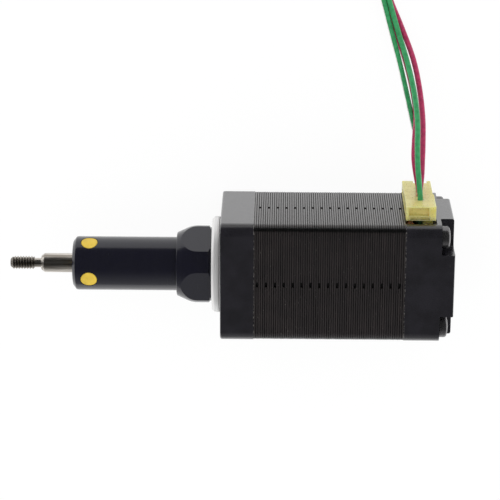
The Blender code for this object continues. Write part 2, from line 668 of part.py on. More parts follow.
def make_connector():
    ring("terminal_board", *BOARD, SEAT_WALL_RADIUS + GAP, CAVITY_RADIUS - GAP, "board")
    contact_line = (HEADER_FRONT + HEADER_BACK) / 2
    header = placed("connector_header", box_mesh(
        "connector_header", (HEADER_FRONT, HEADER_FOOT, -HEADER_HALF), (HEADER_BACK, HEADER_TOP, HEADER_HALF)
    ), "white_plastic", False)
    housing = placed("plug_housing", box_mesh(
        "plug_housing", (PLUG_FRONT, PLUG_FOOT, -PLUG_HALF_LENGTH), (PLUG_BACK, PLUG_TOP, PLUG_HALF_LENGTH)
    ), "nylon", False)
    insert = placed("plug_insert", box_mesh(
        "plug_insert", (HEADER_FRONT, PLUG_INSERT_FOOT, -PLUG_INSERT_HALF),
        (HEADER_BACK, PLUG_FOOT + PAST, PLUG_INSERT_HALF),
    ), None, False)
    combine(housing, insert, "UNION")
    for number, z in enumerate(contact_heights(), 1):
        cuts = ((header, HEADER_FOOT - PAST, HEADER_TOP + PAST), (housing, HEADER_TOP, PIN_TOP + GAP))
        for piece, low, high in cuts:
            cut(piece, upright_rod(f"hole_{number}", contact_line, z, low, high, PIN_HOLE_RADIUS))
        name = f"header_pin_{number}"
        placed(name, upright_rod(name, contact_line, z, HEADER_FOOT, PIN_TOP, PIN_RADIUS), "brass")


def smooth_route(points, step):
    """Points a step apart on a smooth curve through the route's own points."""
    ends = [points[0] * 2 - points[1], *points, points[-1] * 2 - points[-2]]
    fine = []
    for a, b, c, d in zip(ends, ends[1:], ends[2:], ends[3:]):
        for part in range(24):
            t = part / 24
            fine.append(0.5 * (
                2 * b + (c - a) * t + (2 * a - 5 * b + 4 * c - d) * t**2 + (3 * b - a - 3 * c + d) * t**3
            ))
    fine.append(points[-1])
    length = sum((b - a).length for a, b in zip(fine, fine[1:]))
    spacing = length / round(length / step)
    route, travelled, due = [fine[0]], 0.0, spacing
    for a, b in zip(fine, fine[1:]):
        span = (b - a).length
        while travelled + span >= due and due < length - spacing / 2:
            route.append(a.lerp(b, (due - travelled) / span))
            due += spacing
        travelled += span
    return [*route, fine[-1]]


def tube(name, route, radius, finish_name):
    """A round wire along a route in the motor's frame, in metres."""
    curve = bpy.data.curves.new(name, "CURVE")
    curve.dimensions = "3D"
    spline = curve.splines.new("POLY")
    spline.points.add(len(route) - 1)
    for point, place in zip(spline.points, route):
        point.co = (*place, 1.0)
    curve.bevel_depth = radius
    curve.bevel_resolution = 2
    curve.use_fill_caps = True
    curve.materials.append(finish(finish_name))
    wire = bpy.data.objects.new(name, curve)
    bpy.context.scene.collection.objects.link(wire)


def upright_ring(name, centre, low, high, inner, outer, finish_name, steps):
    """A ring that lies flat on the surface."""
    mesh = turned_mesh(name, [(low, inner), (low, outer), (high, outer), (high, inner)], steps)
    mesh.transform(Matrix.Rotation(-math.pi / 2, 4, "Y"))
    piece = placed(name, mesh, finish_name)
    piece.location = (centre[0] * MM, centre[1] * MM, 0)


def make_leads():
    for name, points in LEAD_ROUTES.items():
        colour = "green_insulation" if "green" in name else "red_insulation"
        route = smooth_route([Vector(point) * MM for point in points], LEAD_STEP * MM)
        tube(name, route, LEAD_RADIUS * MM, colour)
    upright_ring("lead_coil", COIL_CENTRE, COIL_BOTTOM, COIL_TOP, COIL_HOLE, COIL_EDGE, "green_insulation", 40)
    for number in range(CONTACTS):
        radius = TIN_FIRST_RADIUS + LEAD_PITCH * number
        arc = TIN_LENGTH / radius
        start = math.radians(TIN_START)
        route = [
            Vector((
                COIL_CENTRE[0] + radius * math.cos(start + share * arc),
                COIL_CENTRE[1] + radius * math.sin(start + share * arc),
                COIL_TOP + GAP + TIN_RADIUS,
            )) * MM
            for share in (0, 0.25, 0.5, 0.75, 1)
        ]
        tube(f"tinned_end_{number + 1}", route, TIN_RADIUS * MM, "tinned_copper")
    make_coil_tie()


def make_coil_tie():
    """A strap that goes round the coil's turns, on the coil's far side."""
    inner, outer = COIL_HOLE - GAP - TIE_THICKNESS, COIL_EDGE + GAP + TIE_THICKNESS
    top = COIL_TOP + GAP + TIE_THICKNESS
    strap = placed("coil_tie", box_mesh(
        "coil_tie", (-TIE_WIDTH / 2, inner, 0), (TIE_WIDTH / 2, outer, top)
    ), "tie_plastic", False)
    hole = placed("coil_tie_hole", box_mesh(
        "coil_tie_hole", (-TIE_WIDTH, inner + TIE_THICKNESS, TIE_THICKNESS),
        (TIE_WIDTH, outer - TIE_THICKNESS, top - TIE_THICKNESS),
    ), None, False)
    for piece in (strap, hole):
        piece.location = (COIL_CENTRE[0] * MM, COIL_CENTRE[1] * MM, 0)
    combine(strap, hole, "DIFFERENCE")


for leftover in list(bpy.data.objects):
    bpy.data.objects.remove(leftover)

make_front_cap()
make_pilot_and_boss()
make_sleeve()
make_rod()
make_rotor()
make_bearing("front_bearing", FRONT_BEARING)
make_bearing("rear_bearing", REAR_BEARING)
make_wave_washer()
make_stator()
make_rear_cap()
make_assembly_screws()
make_connector()
make_leads()
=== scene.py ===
"""The finished look of a captive linear stepper actuator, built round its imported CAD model.

Lengths are in millimetres and are scaled where a mesh is made. Places along the shaft are distances behind the
front mounting face, so the rod's are negative. Across the shaft, y and z start at the shaft's axis.
"""

import json
import math
import random

import bmesh
import bpy
from mathutils import Matrix, Vector


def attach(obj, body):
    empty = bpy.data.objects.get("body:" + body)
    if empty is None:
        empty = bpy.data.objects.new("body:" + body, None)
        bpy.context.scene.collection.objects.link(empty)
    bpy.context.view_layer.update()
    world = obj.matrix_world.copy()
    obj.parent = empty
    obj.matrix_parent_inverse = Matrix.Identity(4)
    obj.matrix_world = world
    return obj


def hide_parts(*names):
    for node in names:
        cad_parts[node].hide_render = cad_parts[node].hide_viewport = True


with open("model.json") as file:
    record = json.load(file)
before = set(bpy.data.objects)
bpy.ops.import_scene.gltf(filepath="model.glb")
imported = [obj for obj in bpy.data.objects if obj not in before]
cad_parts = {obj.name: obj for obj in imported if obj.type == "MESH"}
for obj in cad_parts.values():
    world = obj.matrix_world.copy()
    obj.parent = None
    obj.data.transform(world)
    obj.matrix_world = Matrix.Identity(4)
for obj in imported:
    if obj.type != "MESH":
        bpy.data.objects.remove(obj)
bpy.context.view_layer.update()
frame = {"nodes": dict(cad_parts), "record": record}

MM = 0.001
FRONT_X = -19.0
AXIS_HEIGHT = 10.0
TO_ROW = Matrix.Translation((FRONT_X * MM, 0, AXIS_HEIGHT * MM))

# The motor's casing
SQUARE = 20.0
CORNER_RADIUS = 1.8
FRONT_CAP_END = 5.5
STACK_END = 30.0
MOTOR_LENGTH = 38.0
EDGE_RADIUS = 0.35
SCREW_PLACE = 7.7
SCREW_RADIUS = 1.0
HEAD_RADIUS = 1.85
THROUGH_RADIUS = 1.3
SCREW_TIP = 2.8
CAVITY_RADIUS = 8.8
SEAT_RADIUS = 5.3
SEAT_WALL_RADIUS = 6.2
RECESS_FLOOR = 9.25
RECESS_HALF = 8.2
PAST = 1.0  # how far a cutter runs past the face that it opens
LAMINATIONS = 68
SHEET = (STACK_END - FRONT_CAP_END) / LAMINATIONS
JOINT_EDGE = 0.075
JOINT_DEPTH = 0.09
POCKET_START = 35.8
POCKET_WALL = 5.3

# The pilot, the boss, the sleeve and the rod
PILOT_RADIUS = 7.95
PILOT_PROUD = 1.5
SEATED = 0.48  # how far the pilot and the boss's shoulder are let into the cap
BOSS_RADIUS = 6.4
BOSS_NOSE = -7.35
BOSS_NOSE_RADIUS = 5.25
BOSS_SHOULDER = -4.8
SPIGOT_RADIUS = 5.6
SPIGOT_END = 1.4
FLAT_DISTANCE = 5.6
FLAT_END = -1.62
FLAT_TURN = 67.0
SLEEVE_RADIUS = 4.45
SLEEVE_BORE = 3.3
SLEEVE_FRONT = -24.5
SLEEVE_REAR = -0.6
BUSHING_REAR = -19.2
PLUG_PLACE = -21.75
PLUG_RADIUS = 1.35
PLUG_TURN = 70.5
ROD_RADIUS = 1.5875
ROD_SHOULDER = -29.9
THREAD_REAR = -31.0
ROD_TIP = -35.0
THREAD_RADIUS = 1.09
THREAD_PITCH = 25.4 / 56
UNDERCUT_RADIUS = 0.78
ROUND_STEPS = 128

# The plug housing
HOUSING_FRONT = 30.02
HOUSING_BACK = 34.9
HOUSING_FOOT = 10.2
HOUSING_TOP = 12.55
HOUSING_HALF = 6.9
WAYS = 4
WAY_PITCH = 2.0

# The leads, in the motor's row frame
LEAD_RADIUS = 0.45
LEAD_PITCH = 0.95
COIL_CENTRE = (-11.2, 62.5)
COIL_ENTRY = 17.0
TIN_START = 150.0
TIN_LENGTH = 5.0
TIN_RADIUS = 0.3
TIN_FIRST_RADIUS = 10.1
FULL_TURNS = 3
TURNS = FULL_TURNS + (TIN_START - COIL_ENTRY) / 360
TUBE_SIDES = 16
LEAD_ROUTES = {
    "lead_green": [
        (13.5, 12.85, 13.0), (13.2, 15.8, 13.0), (12.95, 18.4, 12.8), (12.85, 21.2, 12.1), (12.85, 25.1, 10.1),
        (12.3, 29.3, 7.2), (11.2, 33.6, 4.5), (9.7, 38.1, 2.3), (8.2, 43.0, 1.45), (6.6, 48.4, 1.44),
        (5.0, 53.6, 1.44), (3.3, 59.2, 1.44),
    ],
    "lead_red": [
        (13.5, 12.85, 11.0), (13.75, 15.8, 11.0), (13.8, 18.4, 10.8), (13.85, 21.2, 10.2), (13.8, 25.1, 8.5),
        (13.3, 29.3, 6.1), (12.3, 33.6, 3.6), (10.5, 38.1, 1.35), (8.4, 43.0, 0.52), (6.65, 48.4, 0.49),
        (5.0, 53.6, 0.49), (3.3, 59.2, 0.49),
    ],
    "lead_red_white": [
        (13.5, 12.85, 9.0), (12.9, 15.8, 9.0), (12.55, 18.4, 8.8), (12.6, 21.2, 8.2), (12.8, 25.1, 6.7),
        (12.1, 29.3, 4.5), (10.9, 33.6, 2.4), (9.2, 38.1, 0.9), (7.4, 43.0, 0.51), (5.65, 48.4, 0.49),
        (4.05, 53.6, 0.49), (2.84, 57.6, 0.49),
    ],
    "lead_green_white": [
        (13.5, 12.85, 7.0), (13.3, 15.8, 7.0), (13.1, 18.4, 6.9), (12.9, 21.2, 6.6), (12.0, 25.1, 6.2),
        (11.0, 29.3, 5.3), (9.9, 33.6, 3.6), (8.6, 38.1, 1.95), (7.25, 43.0, 1.45), (5.65, 48.4, 1.44),
        (4.05, 53.6, 1.44), (2.84, 57.6, 1.44),
    ],
}
# Each lead's place in the bundle of four: outer or inner column, upper or lower layer, and its end's column
BUNDLE = {
    "lead_green": (0, 1, 1), "lead_red": (0, 0, 3), "lead_red_white": (1, 0, 2), "lead_green_white": (1, 1, 0),
}


# ---------------------------------------------------------------- camera, light and floor

CAMERA_TARGET = (-8.8, 2.55, 10.0)
CAMERA_DISTANCE = 360.0
CAMERA_TILT = math.radians(19.5)  # from straight above, towards +Y
CAMERA_ROLL = math.radians(0.47)


def make_camera():
    data = bpy.data.cameras.new("camera")
    data.sensor_width = 36.0
    data.lens = 156.3
    data.shift_x = -0.066
    data.clip_start = 0.01
    data.clip_end = 20.0
    camera = bpy.data.objects.new("camera", data)
    bpy.context.scene.collection.objects.link(camera)
    back = Vector((0, math.sin(CAMERA_TILT), math.cos(CAMERA_TILT)))
    right = Vector((1, 0, 0))
    axes = Matrix((right, back.cross(right), back)).transposed().to_4x4()
    place = (Vector(CAMERA_TARGET) + back * CAMERA_DISTANCE) * MM
    camera.matrix_world = Matrix.Translation(place) @ axes @ Matrix.Rotation(CAMERA_ROLL, 4, "Z")
    bpy.context.scene.camera = camera


def make_world():
    """A white studio. What a glossy surface sees overhead is dark, as under a camera and its hood."""
    world = bpy.data.worlds.new("studio")
    bpy.context.scene.world = world
    bpy.context.scene.view_settings.view_transform = "Standard"
    world.use_nodes = True
    world.cycles.sampling_method = "NONE"
    nodes, links = world.node_tree.nodes, world.node_tree.links
    background = nodes["Background"]
    direction = nodes.new("ShaderNodeTexCoord")
    split = nodes.new("ShaderNodeSeparateXYZ")
    links.new(direction.outputs["Generated"], split.inputs[0])

    def step(output, low, high):
        ramp = nodes.new("ShaderNodeMapRange")
        ramp.interpolation_type = "SMOOTHSTEP"
        ramp.inputs["From Min"].default_value = low
        ramp.inputs["From Max"].default_value = high
        links.new(output, ramp.inputs["Value"])
        return ramp.outputs[0]

    def calculate(operation, a, b):
        node = nodes.new("ShaderNodeMath")
        node.operation = operation
        for socket, value in zip(node.inputs, (a, b)):
            if isinstance(value, (int, float)):
                socket.default_value = value
            else:
                links.new(value, socket)
        return node.outputs[0]

    dark = calculate("MULTIPLY", step(split.outputs["Z"], 0.0, 0.06), step(split.outputs["Y"], -2.1, -0.1))
    path = nodes.new("ShaderNodeLightPath")
    seen_in_gloss = calculate("MULTIPLY", dark, path.outputs["Is Glossy Ray"])
    strength = calculate("SUBTRACT", 1.0, calculate("MULTIPLY", seen_in_gloss, 0.97))
    background.inputs["Color"].default_value = (1, 1, 1, 1)
    links.new(strength, background.inputs["Strength"])


def make_floor():
    """A pale table top that glows a little, so that only a trace of shadow shows on it."""
    half = 3.0
    mesh = bpy.data.meshes.new("floor")
    corners = [(-half, -half, 0), (half, -half, 0), (half, half, 0), (-half, half, 0)]
    mesh.from_pydata(corners, [], [(0, 1, 2, 3)])
    floor = bpy.data.objects.new("floor", mesh)
    bpy.context.scene.collection.objects.link(floor)
    floor.location.z = -0.00002
    material = bpy.data.materials.new("floor")
    material.use_nodes = True
    shader = material.node_tree.nodes["Principled BSDF"]
    shader.inputs["Base Color"].default_value = (0.08, 0.08, 0.08, 1)
    shader.inputs["Roughness"].default_value = 1.0
    shader.inputs["Specular IOR Level"].default_value = 0.0
    shader.inputs["Emission Color"].default_value = (1, 1, 1, 1)
    shader.inputs["Emission Strength"].default_value = 0.93
    mesh.materials.append(material)


make_camera()
make_world()
make_floor()


# ---------------------------------------------------------------- surfaces


class Look:
    """A Principled material whose textures are laid out in the piece's own space, in millimetres."""

    def __init__(self, name, colour, roughness, metallic=0.0, **sockets):
        self.material = bpy.data.materials.new(name)
        self.material.use_nodes = True
        self.nodes, self.links = self.material.node_tree.nodes, self.material.node_tree.links
        self.shader = self.nodes["Principled BSDF"]
        self.shader.inputs["Base Color"].default_value = (*colour, 1)
        self.shader.inputs["Roughness"].default_value = roughness
        self.shader.inputs["Metallic"].default_value = metallic
        for socket, value in sockets.items():
            self.shader.inputs[socket.replace("_", " ")].default_value = value
        place = self.nodes.new("ShaderNodeTexCoord")
        in_row = self.vector("SUBTRACT", place.outputs["Object"], (FRONT_X * MM, 0, AXIS_HEIGHT * MM))
        self.place = self.vector("SCALE", in_row, scale=1 / MM)
        self.normal = None

    def vector(self, operation, a, b=None, scale=None):
        node = self.nodes.new("ShaderNodeVectorMath")
        node.operation = operation
        self.links.new(a, node.inputs[0])
        if b is not None:
            node.inputs[1].default_value = b
        if scale is not None:
            node.inputs["Scale"].default_value = scale
        return node.outputs[0]

    def calculate(self, operation, a, b=0.0):
        node = self.nodes.new("ShaderNodeMath")
        node.operation = operation
        for socket, value in zip(node.inputs, (a, b)):
            if isinstance(value, (int, float)):
                socket.default_value = value
            else:
                self.links.new(value, socket)
        return node.outputs[0]

    def split(self):
        node = self.nodes.new("ShaderNodeSeparateXYZ")
        self.links.new(self.place, node.inputs[0])
        return node.outputs

    def along_and_out(self):
        """The place along the shaft and the distance from its axis."""
        x, y, z = self.split()
        squares = [self.calculate("MULTIPLY", side, side) for side in (y, z)]
        return x, self.calculate("SQRT", self.calculate("ADD", *squares))

    def turned(self):
        """Coordinates that only change along the shaft and away from it, as turning marks do."""
        joined = self.nodes.new("ShaderNodeCombineXYZ")
        for value, socket in zip(self.along_and_out(), joined.inputs):
            self.links.new(value, socket)
        return joined.outputs[0]

    def noise(self, scale, detail=3.0, place=None, stretch=None, roughness=0.5):
        """Noise with this many features a millimetre."""
        place = place or self.place
        if stretch:
            place = self.vector("MULTIPLY", place, stretch)
        node = self.nodes.new("ShaderNodeTexNoise")
        node.inputs["Scale"].default_value = scale
        node.inputs["Detail"].default_value = detail
        node.inputs["Roughness"].default_value = roughness
        self.links.new(place, node.inputs["Vector"])
        return node.outputs["Fac"]

    def ramp(self, value, low, high, to_low=0.0, to_high=1.0):
        node = self.nodes.new("ShaderNodeMapRange")
        node.interpolation_type = "SMOOTHSTEP"
        settings = {"From Min": low, "From Max": high, "To Min": to_low, "To Max": to_high}
        for socket, setting in settings.items():
            node.inputs[socket].default_value = setting
        self.links.new(value, node.inputs["Value"])
        return node.outputs[0]

    def mixed(self, share, a, b):
        """A colour between a and b. Each is a colour or another node's output."""
        node = self.nodes.new("ShaderNodeMix")
        node.data_type = "RGBA"
        self.links.new(share, node.inputs["Factor"])
        for socket, value in ((node.inputs[6], a), (node.inputs[7], b)):
            if isinstance(value, tuple):
                socket.default_value = (*value, 1)
            else:
                self.links.new(value, socket)
        return node.outputs[2]

    def paint(self, colour):
        self.links.new(colour, self.shader.inputs["Base Color"])
        return self

    def shine(self, value):
        self.links.new(value, self.shader.inputs["Roughness"])
        return self

    def bump(self, height, depth):
        """Raises the surface by up to depth millimetres."""
        node = self.nodes.new("ShaderNodeBump")
        node.inputs["Strength"].default_value = 1.0
        node.inputs["Distance"].default_value = depth * MM
        self.links.new(height, node.inputs["Height"])
        if self.normal:
            self.links.new(self.normal, node.inputs["Normal"])
        self.normal = node.outputs[0]
        self.links.new(self.normal, self.shader.inputs["Normal"])
        return self


def shade(colour, factor):
    return tuple(min(1.0, channel * factor) for channel in colour)


SEAM_METAL = (0.19, 0.18, 0.17)
WIRE_PITCH = 0.2  # of the wire that shows in the coils


def seam_flecks(look):
    """Bare metal showing in flecks where the caps' and the stack's edges meet."""
    x = look.split()[0]
    from_front = look.calculate("ABSOLUTE", look.calculate("SUBTRACT", x, FRONT_CAP_END))
    from_rear = look.calculate("ABSOLUTE", look.calculate("SUBTRACT", x, STACK_END))
    near = look.ramp(look.calculate("MINIMUM", from_front, from_rear), 0.05, 0.1, 1.0, 0.0)
    flecks = look.ramp(look.noise(2.2, 4, roughness=0.7), 0.5, 0.58)
    return look.calculate("MULTIPLY", near, flecks)


def paint_look(name, colour, roughness, specks):
    """Sprayed or moulded finish: fine grain, soft patches and a few specks of dust."""
    look = Look(name, colour, roughness, Specular_IOR_Level=0.5, Coat_Weight=0.8, Coat_Roughness=0.2)
    patches = look.ramp(look.noise(0.35, 4), 0.3, 0.7)
    body = look.mixed(patches, shade(colour, 0.8), shade(colour, 1.25))
    dust = look.ramp(look.noise(5.5, 2, roughness=0.7), 0.735, 0.76, 0.0, specks)
    body = look.mixed(dust, body, (0.5, 0.47, 0.42))
    look.paint(look.mixed(seam_flecks(look), body, SEAM_METAL))
    grain = look.noise(9.0, 3)
    look.shine(look.ramp(grain, 0.3, 0.7, roughness - 0.05, roughness + 0.07))
    look.bump(grain, 0.012)
    look.bump(look.noise(1.1, 2), 0.02)
    return look.material


def turned_look(name, colour, roughness, metallic, lines=0.006, **sockets):
    """A lathe finish: rings of slightly different tone and gloss, and hair lines."""
    look = Look(name, colour, roughness, metallic, **sockets)
    rings = look.noise(7.0, 5, look.turned(), roughness=0.7)
    patches = look.noise(0.5, 3)
    look.paint(look.mixed(look.ramp(rings, 0.3, 0.7), shade(colour, 0.86), shade(colour, 1.12)))
    both = look.calculate(
        "ADD", look.calculate("MULTIPLY", rings, 0.6), look.calculate("MULTIPLY", patches, 0.4)
    )
    look.shine(look.ramp(both, 0.3, 0.7, roughness - 0.06, roughness + 0.08))
    look.bump(rings, lines)
    return look.material


def ground_look(name, colour, roughness, lines=0.004):
    """Ground or drawn steel with fine marks along it."""
    look = Look(name, colour, roughness, 1.0)
    marks = look.noise(6.0, 5, stretch=(0.12, 2.5, 2.5), roughness=0.7)
    rings = look.noise(5.0, 4, look.turned())
    look.paint(look.mixed(look.ramp(marks, 0.3, 0.7), shade(colour, 0.82), shade(colour, 1.12)))
    look.shine(look.ramp(rings, 0.3, 0.7, roughness - 0.05, roughness + 0.1))
    look.bump(rings, lines)
    return look.material


def rod_look():
    """Drawn steel streaked along its length, with painted shade in the thread's roots."""
    look = Look("rod_stainless", (0.6, 0.56, 0.5), 0.3, 1.0)
    x, radius = look.along_and_out()
    streaks = look.noise(2.6, 5, stretch=(0.03, 1, 1), roughness=0.65)
    steel = look.mixed(look.ramp(streaks, 0.36, 0.64), (0.3, 0.27, 0.235), (0.86, 0.82, 0.76))
    # Painted shade: the thread's roots are painted darker, as shade falls between the flanks.
    root = look.ramp(radius, THREAD_RADIUS - 0.17, THREAD_RADIUS - 0.04, 1.0, 0.0)
    on_thread = look.ramp(x, THREAD_REAR - 0.1, THREAD_REAR + 0.1, 1.0, 0.0)
    look.paint(look.mixed(look.calculate("MULTIPLY", root, on_thread), steel, (0.27, 0.25, 0.22)))
    look.shine(look.ramp(on_thread, 0.0, 1.0, 0.3, 0.46))
    look.bump(streaks, 0.03)
    look.bump(look.noise(5.0, 4, look.turned()), 0.003)
    return look.material


def plastic_look(name, colour, roughness, depth=0.006, **sockets):
    """Moulded plastic: flow patches and a slightly uneven skin."""
    look = Look(name, colour, roughness, 0.0, **sockets)
    flow = look.noise(0.8, 4, stretch=(1, 0.5, 0.5))
    look.paint(look.mixed(look.ramp(flow, 0.3, 0.7), shade(colour, 0.85), shade(colour, 1.12)))
    skin = look.noise(4.0, 3)
    look.shine(look.ramp(skin, 0.3, 0.7, roughness - 0.06, roughness + 0.08))
    look.bump(skin, depth)
    return look.material


def cast_look(name, colour, roughness, metallic):
    """Sintered or laminated steel: coarse grain with darker pores."""
    look = Look(name, colour, roughness, metallic)
    grain = look.noise(8.0, 5, roughness=0.7)
    look.paint(look.mixed(look.ramp(grain, 0.35, 0.65), shade(colour, 0.6), shade(colour, 1.2)))
    look.shine(look.ramp(grain, 0.3, 0.7, roughness - 0.08, roughness + 0.12))
    look.bump(grain, 0.02)
    return look.material


def copper_look():
    """Enamelled wire laid side by side along the pole."""
    look = Look("copper_winding", (0.62, 0.24, 0.09), 0.3, 1.0, Coat_Weight=0.6)
    _, y, z = look.split()
    across = look.calculate("ADD", y, z)
    turns = look.calculate("SINE", look.calculate("MULTIPLY", across, math.tau / WIRE_PITCH))
    tone = look.noise(2.0, 3)
    look.paint(look.mixed(look.ramp(tone, 0.3, 0.7), (0.45, 0.15, 0.05), (0.75, 0.32, 0.12)))
    look.shine(look.ramp(tone, 0.3, 0.7, 0.22, 0.42))
    look.bump(turns, 0.03)
    return look.material


def lamination_look():
    """Stamped sheets on edge: a dark joint after each, slightly different tones, bright nicks, and painted
    shade in the notches.
    """
    look = Look("lamination_edges", (0.03, 0.028, 0.026), 0.3, 0.0, Specular_IOR_Level=0.5, Coat_Weight=0.6)
    look.shader.inputs["Coat Roughness"].default_value = 0.25
    x, y, z = look.split()
    sheet = look.calculate("DIVIDE", look.calculate("SUBTRACT", x, FRONT_CAP_END), SHEET)
    number = look.calculate("FLOOR", sheet)
    from_middle = look.calculate("ABSOLUTE", look.calculate("SUBTRACT", look.calculate("FRACT", sheet), 0.5))
    joint = look.ramp(from_middle, 0.26, 0.4)
    dice = look.nodes.new("ShaderNodeTexWhiteNoise")
    dice.noise_dimensions = "1D"
    look.links.new(number, dice.inputs["W"])
    wear = look.ramp(look.noise(0.45, 4, stretch=(0.6, 1, 1)), 0.3, 0.7, 0.5, 1.0)
    tone = look.calculate("MULTIPLY", look.ramp(dice.outputs["Value"], 0.0, 1.0, 0.45, 1.0), wear)
    sheets = look.mixed(tone, (0.018, 0.0155, 0.0165), (0.034, 0.0275, 0.0275))
    joined = look.mixed(joint, sheets, (0.005, 0.0042, 0.0045))
    bright = look.ramp(look.noise(3.2, 2, stretch=(1.6, 1, 1), roughness=0.7), 0.70, 0.735)
    joined = look.mixed(bright, joined, (0.16, 0.15, 0.14))
    # Painted shade: the notches' floors, and the faces inside the stack, are painted near black.
    outermost = look.calculate("MAXIMUM", look.calculate("ABSOLUTE", y), look.calculate("ABSOLUTE", z))
    notch = look.ramp(outermost, 9.6, 9.78, 1.0, 0.0)
    look.paint(look.mixed(notch, look.mixed(seam_flecks(look), joined, SEAM_METAL), (0.001, 0.001, 0.001)))
    look.shine(look.ramp(joint, 0.0, 1.0, 0.28, 0.85))
    look.bump(look.noise(6.0, 3), 0.01)
    return look.material


def nylon_look():
    """Natural nylon gone pale yellow: light goes into it and comes out softened."""
    look = Look(
        "plug_nylon", (0.86, 0.76, 0.3), 0.33, Subsurface_Weight=0.8, Subsurface_Scale=0.0014,
        Subsurface_Radius=(1.0, 0.9, 0.45), Transmission_Weight=0.2, IOR=1.5,
    )
    flow = look.noise(0.9, 4)
    look.paint(look.mixed(look.ramp(flow, 0.3, 0.7), (0.8, 0.7, 0.22), (0.9, 0.81, 0.34)))
    skin = look.noise(5.0, 3)
    look.shine(look.ramp(skin, 0.3, 0.7, 0.26, 0.42))
    look.bump(skin, 0.008)
    return look.material


def insulation_look(name, colour):
    """Extruded wire insulation: soft gloss, with faint waves left by the strands inside."""
    look = Look(name, colour, 0.36, 0.0, Coat_Weight=0.25, Coat_Roughness=0.2)
    waves = look.noise(1.6, 3)
    look.paint(look.mixed(look.ramp(waves, 0.3, 0.7), shade(colour, 0.82), shade(colour, 1.15)))
    look.shine(look.ramp(waves, 0.3, 0.7, 0.3, 0.44))
    look.bump(waves, 0.02)
    return look.material


BLACK_PAINT = (0.0125, 0.0115, 0.0165)
LOOKS = {
    "cap_paint": paint_look("cap_paint", BLACK_PAINT, 0.3, 0.3),
    "machined_aluminium": turned_look("machined_aluminium", (0.93, 0.92, 0.91), 0.42, 0.45, 0.01),
    "black_anodised": turned_look(
        "black_anodised", (0.0085, 0.0085, 0.0165), 0.2, 0.0, 0.003, Coat_Weight=0.3, Coat_Roughness=0.12
    ),
    "bushing_plastic": plastic_look("bushing_plastic", (0.72, 0.5, 0.06), 0.5),
    "yellow_plastic": plastic_look("yellow_plastic", (0.76, 0.53, 0.05), 0.4),
    "rod_stainless": rod_look(),
    "screw_stainless": ground_look("screw_stainless", (0.6, 0.58, 0.54), 0.3),
    "moulded_plastic": plastic_look("moulded_plastic", (0.78, 0.77, 0.72), 0.5),
    "bearing_steel": turned_look("bearing_steel", (0.62, 0.62, 0.62), 0.2, 1.0),
    "rotor_steel": cast_look("rotor_steel", (0.3, 0.29, 0.28), 0.4, 0.9),
    "magnet": cast_look("magnet", (0.2, 0.2, 0.21), 0.45, 0.6),
    "lamination_steel": lamination_look(),
    "board": plastic_look("board", (0.03, 0.2, 0.09), 0.35),
    "header_plastic": plastic_look("header_plastic", (0.8, 0.78, 0.7), 0.45),
    "nylon": nylon_look(),
    "green_insulation": insulation_look("green_insulation", (0.035, 0.34, 0.115)),
    "green_white_insulation": insulation_look("green_white_insulation", (0.035, 0.34, 0.115)),
    "red_insulation": insulation_look("red_insulation", (0.47, 0.028, 0.11)),
    "red_white_insulation": insulation_look("red_white_insulation", (0.47, 0.028, 0.11)),
    "tie_plastic": plastic_look("tie_plastic", (0.025, 0.025, 0.027), 0.45),
    "screw_steel": turned_look("screw_steel", (0.17, 0.165, 0.17), 0.24, 0.9, 0.01),
    "pin_brass": ground_look("pin_brass", (0.78, 0.7, 0.5), 0.25),
    "tinned_copper": ground_look("tinned_copper", (0.72, 0.72, 0.7), 0.3),
    "copper": copper_look(),
    "cage_brass": turned_look("cage_brass", (0.75, 0.58, 0.28), 0.28, 1.0),
}
STRIPE = insulation_look("stripe_insulation", (0.82, 0.8, 0.78))
SLOT_OF = {part["node"]: part["material_slot"] for part in frame["record"]["subparts"]}


# ---------------------------------------------------------------- shapes


def piece(name, mesh, slot, stands_for=(), body="motor_body", angle=35):
    """A finished piece that rides on a body and takes its look from the record's slot."""
    mesh.shade_smooth()
    mesh.set_sharp_from_angle(angle=math.radians(angle))
    if not mesh.materials:
        mesh.materials.append(LOOKS[slot])
    made = bpy.data.objects.new(name, mesh)
    bpy.context.scene.collection.objects.link(made)
    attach(made, body)
    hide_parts(*stands_for)
    return made


def soften(made, width, segments=3, angle=30):
    """Breaks the piece's edges, as on any cast, moulded or machined part."""
    bevel = made.modifiers.new("edges", "BEVEL")
    bevel.width = width * MM
    bevel.segments = segments
    bevel.limit_method = "ANGLE"
    bevel.angle_limit = math.radians(angle)
    bevel.harden_normals = True
    return made


def even(made):
    """Keeps large faces flat in the light and leaves the blend to the small ones between them."""
    weighted = made.modifiers.new("normals", "WEIGHTED_NORMAL")
    weighted.keep_sharp = True
    return made


def mesh_from(name, work):
    bmesh.ops.recalc_face_normals(work, faces=work.faces)
    mesh = bpy.data.meshes.new(name)
    work.to_mesh(mesh)
    work.free()
    return mesh


def join_rows(work, near, far):
    """Faces between two closed rows of vertices. A row of one vertex is a point on the axis."""
    count = max(len(near), len(far))
    for here in range(count):
        there = (here + 1) % count
        if len(near) == 1:
            work.faces.new((near[0], far[there], far[here]))
        elif len(far) == 1:
            work.faces.new((near[here], near[there], far[0]))
        else:
            work.faces.new((near[here], near[there], far[there], far[here]))


def lofted(name, loops):
    """A closed skin over loops of (x, y, z) points, in the motor's millimetres."""
    work = bmesh.new()
    rows = [[work.verts.new(Vector(point) * MM) for point in loop] for loop in loops]
    for near, far in zip(rows, rows[1:]):
        join_rows(work, near, far)
    work.faces.new(rows[0])
    work.faces.new(rows[-1])
    mesh = mesh_from(name, work)
    mesh.transform(TO_ROW)
    return mesh


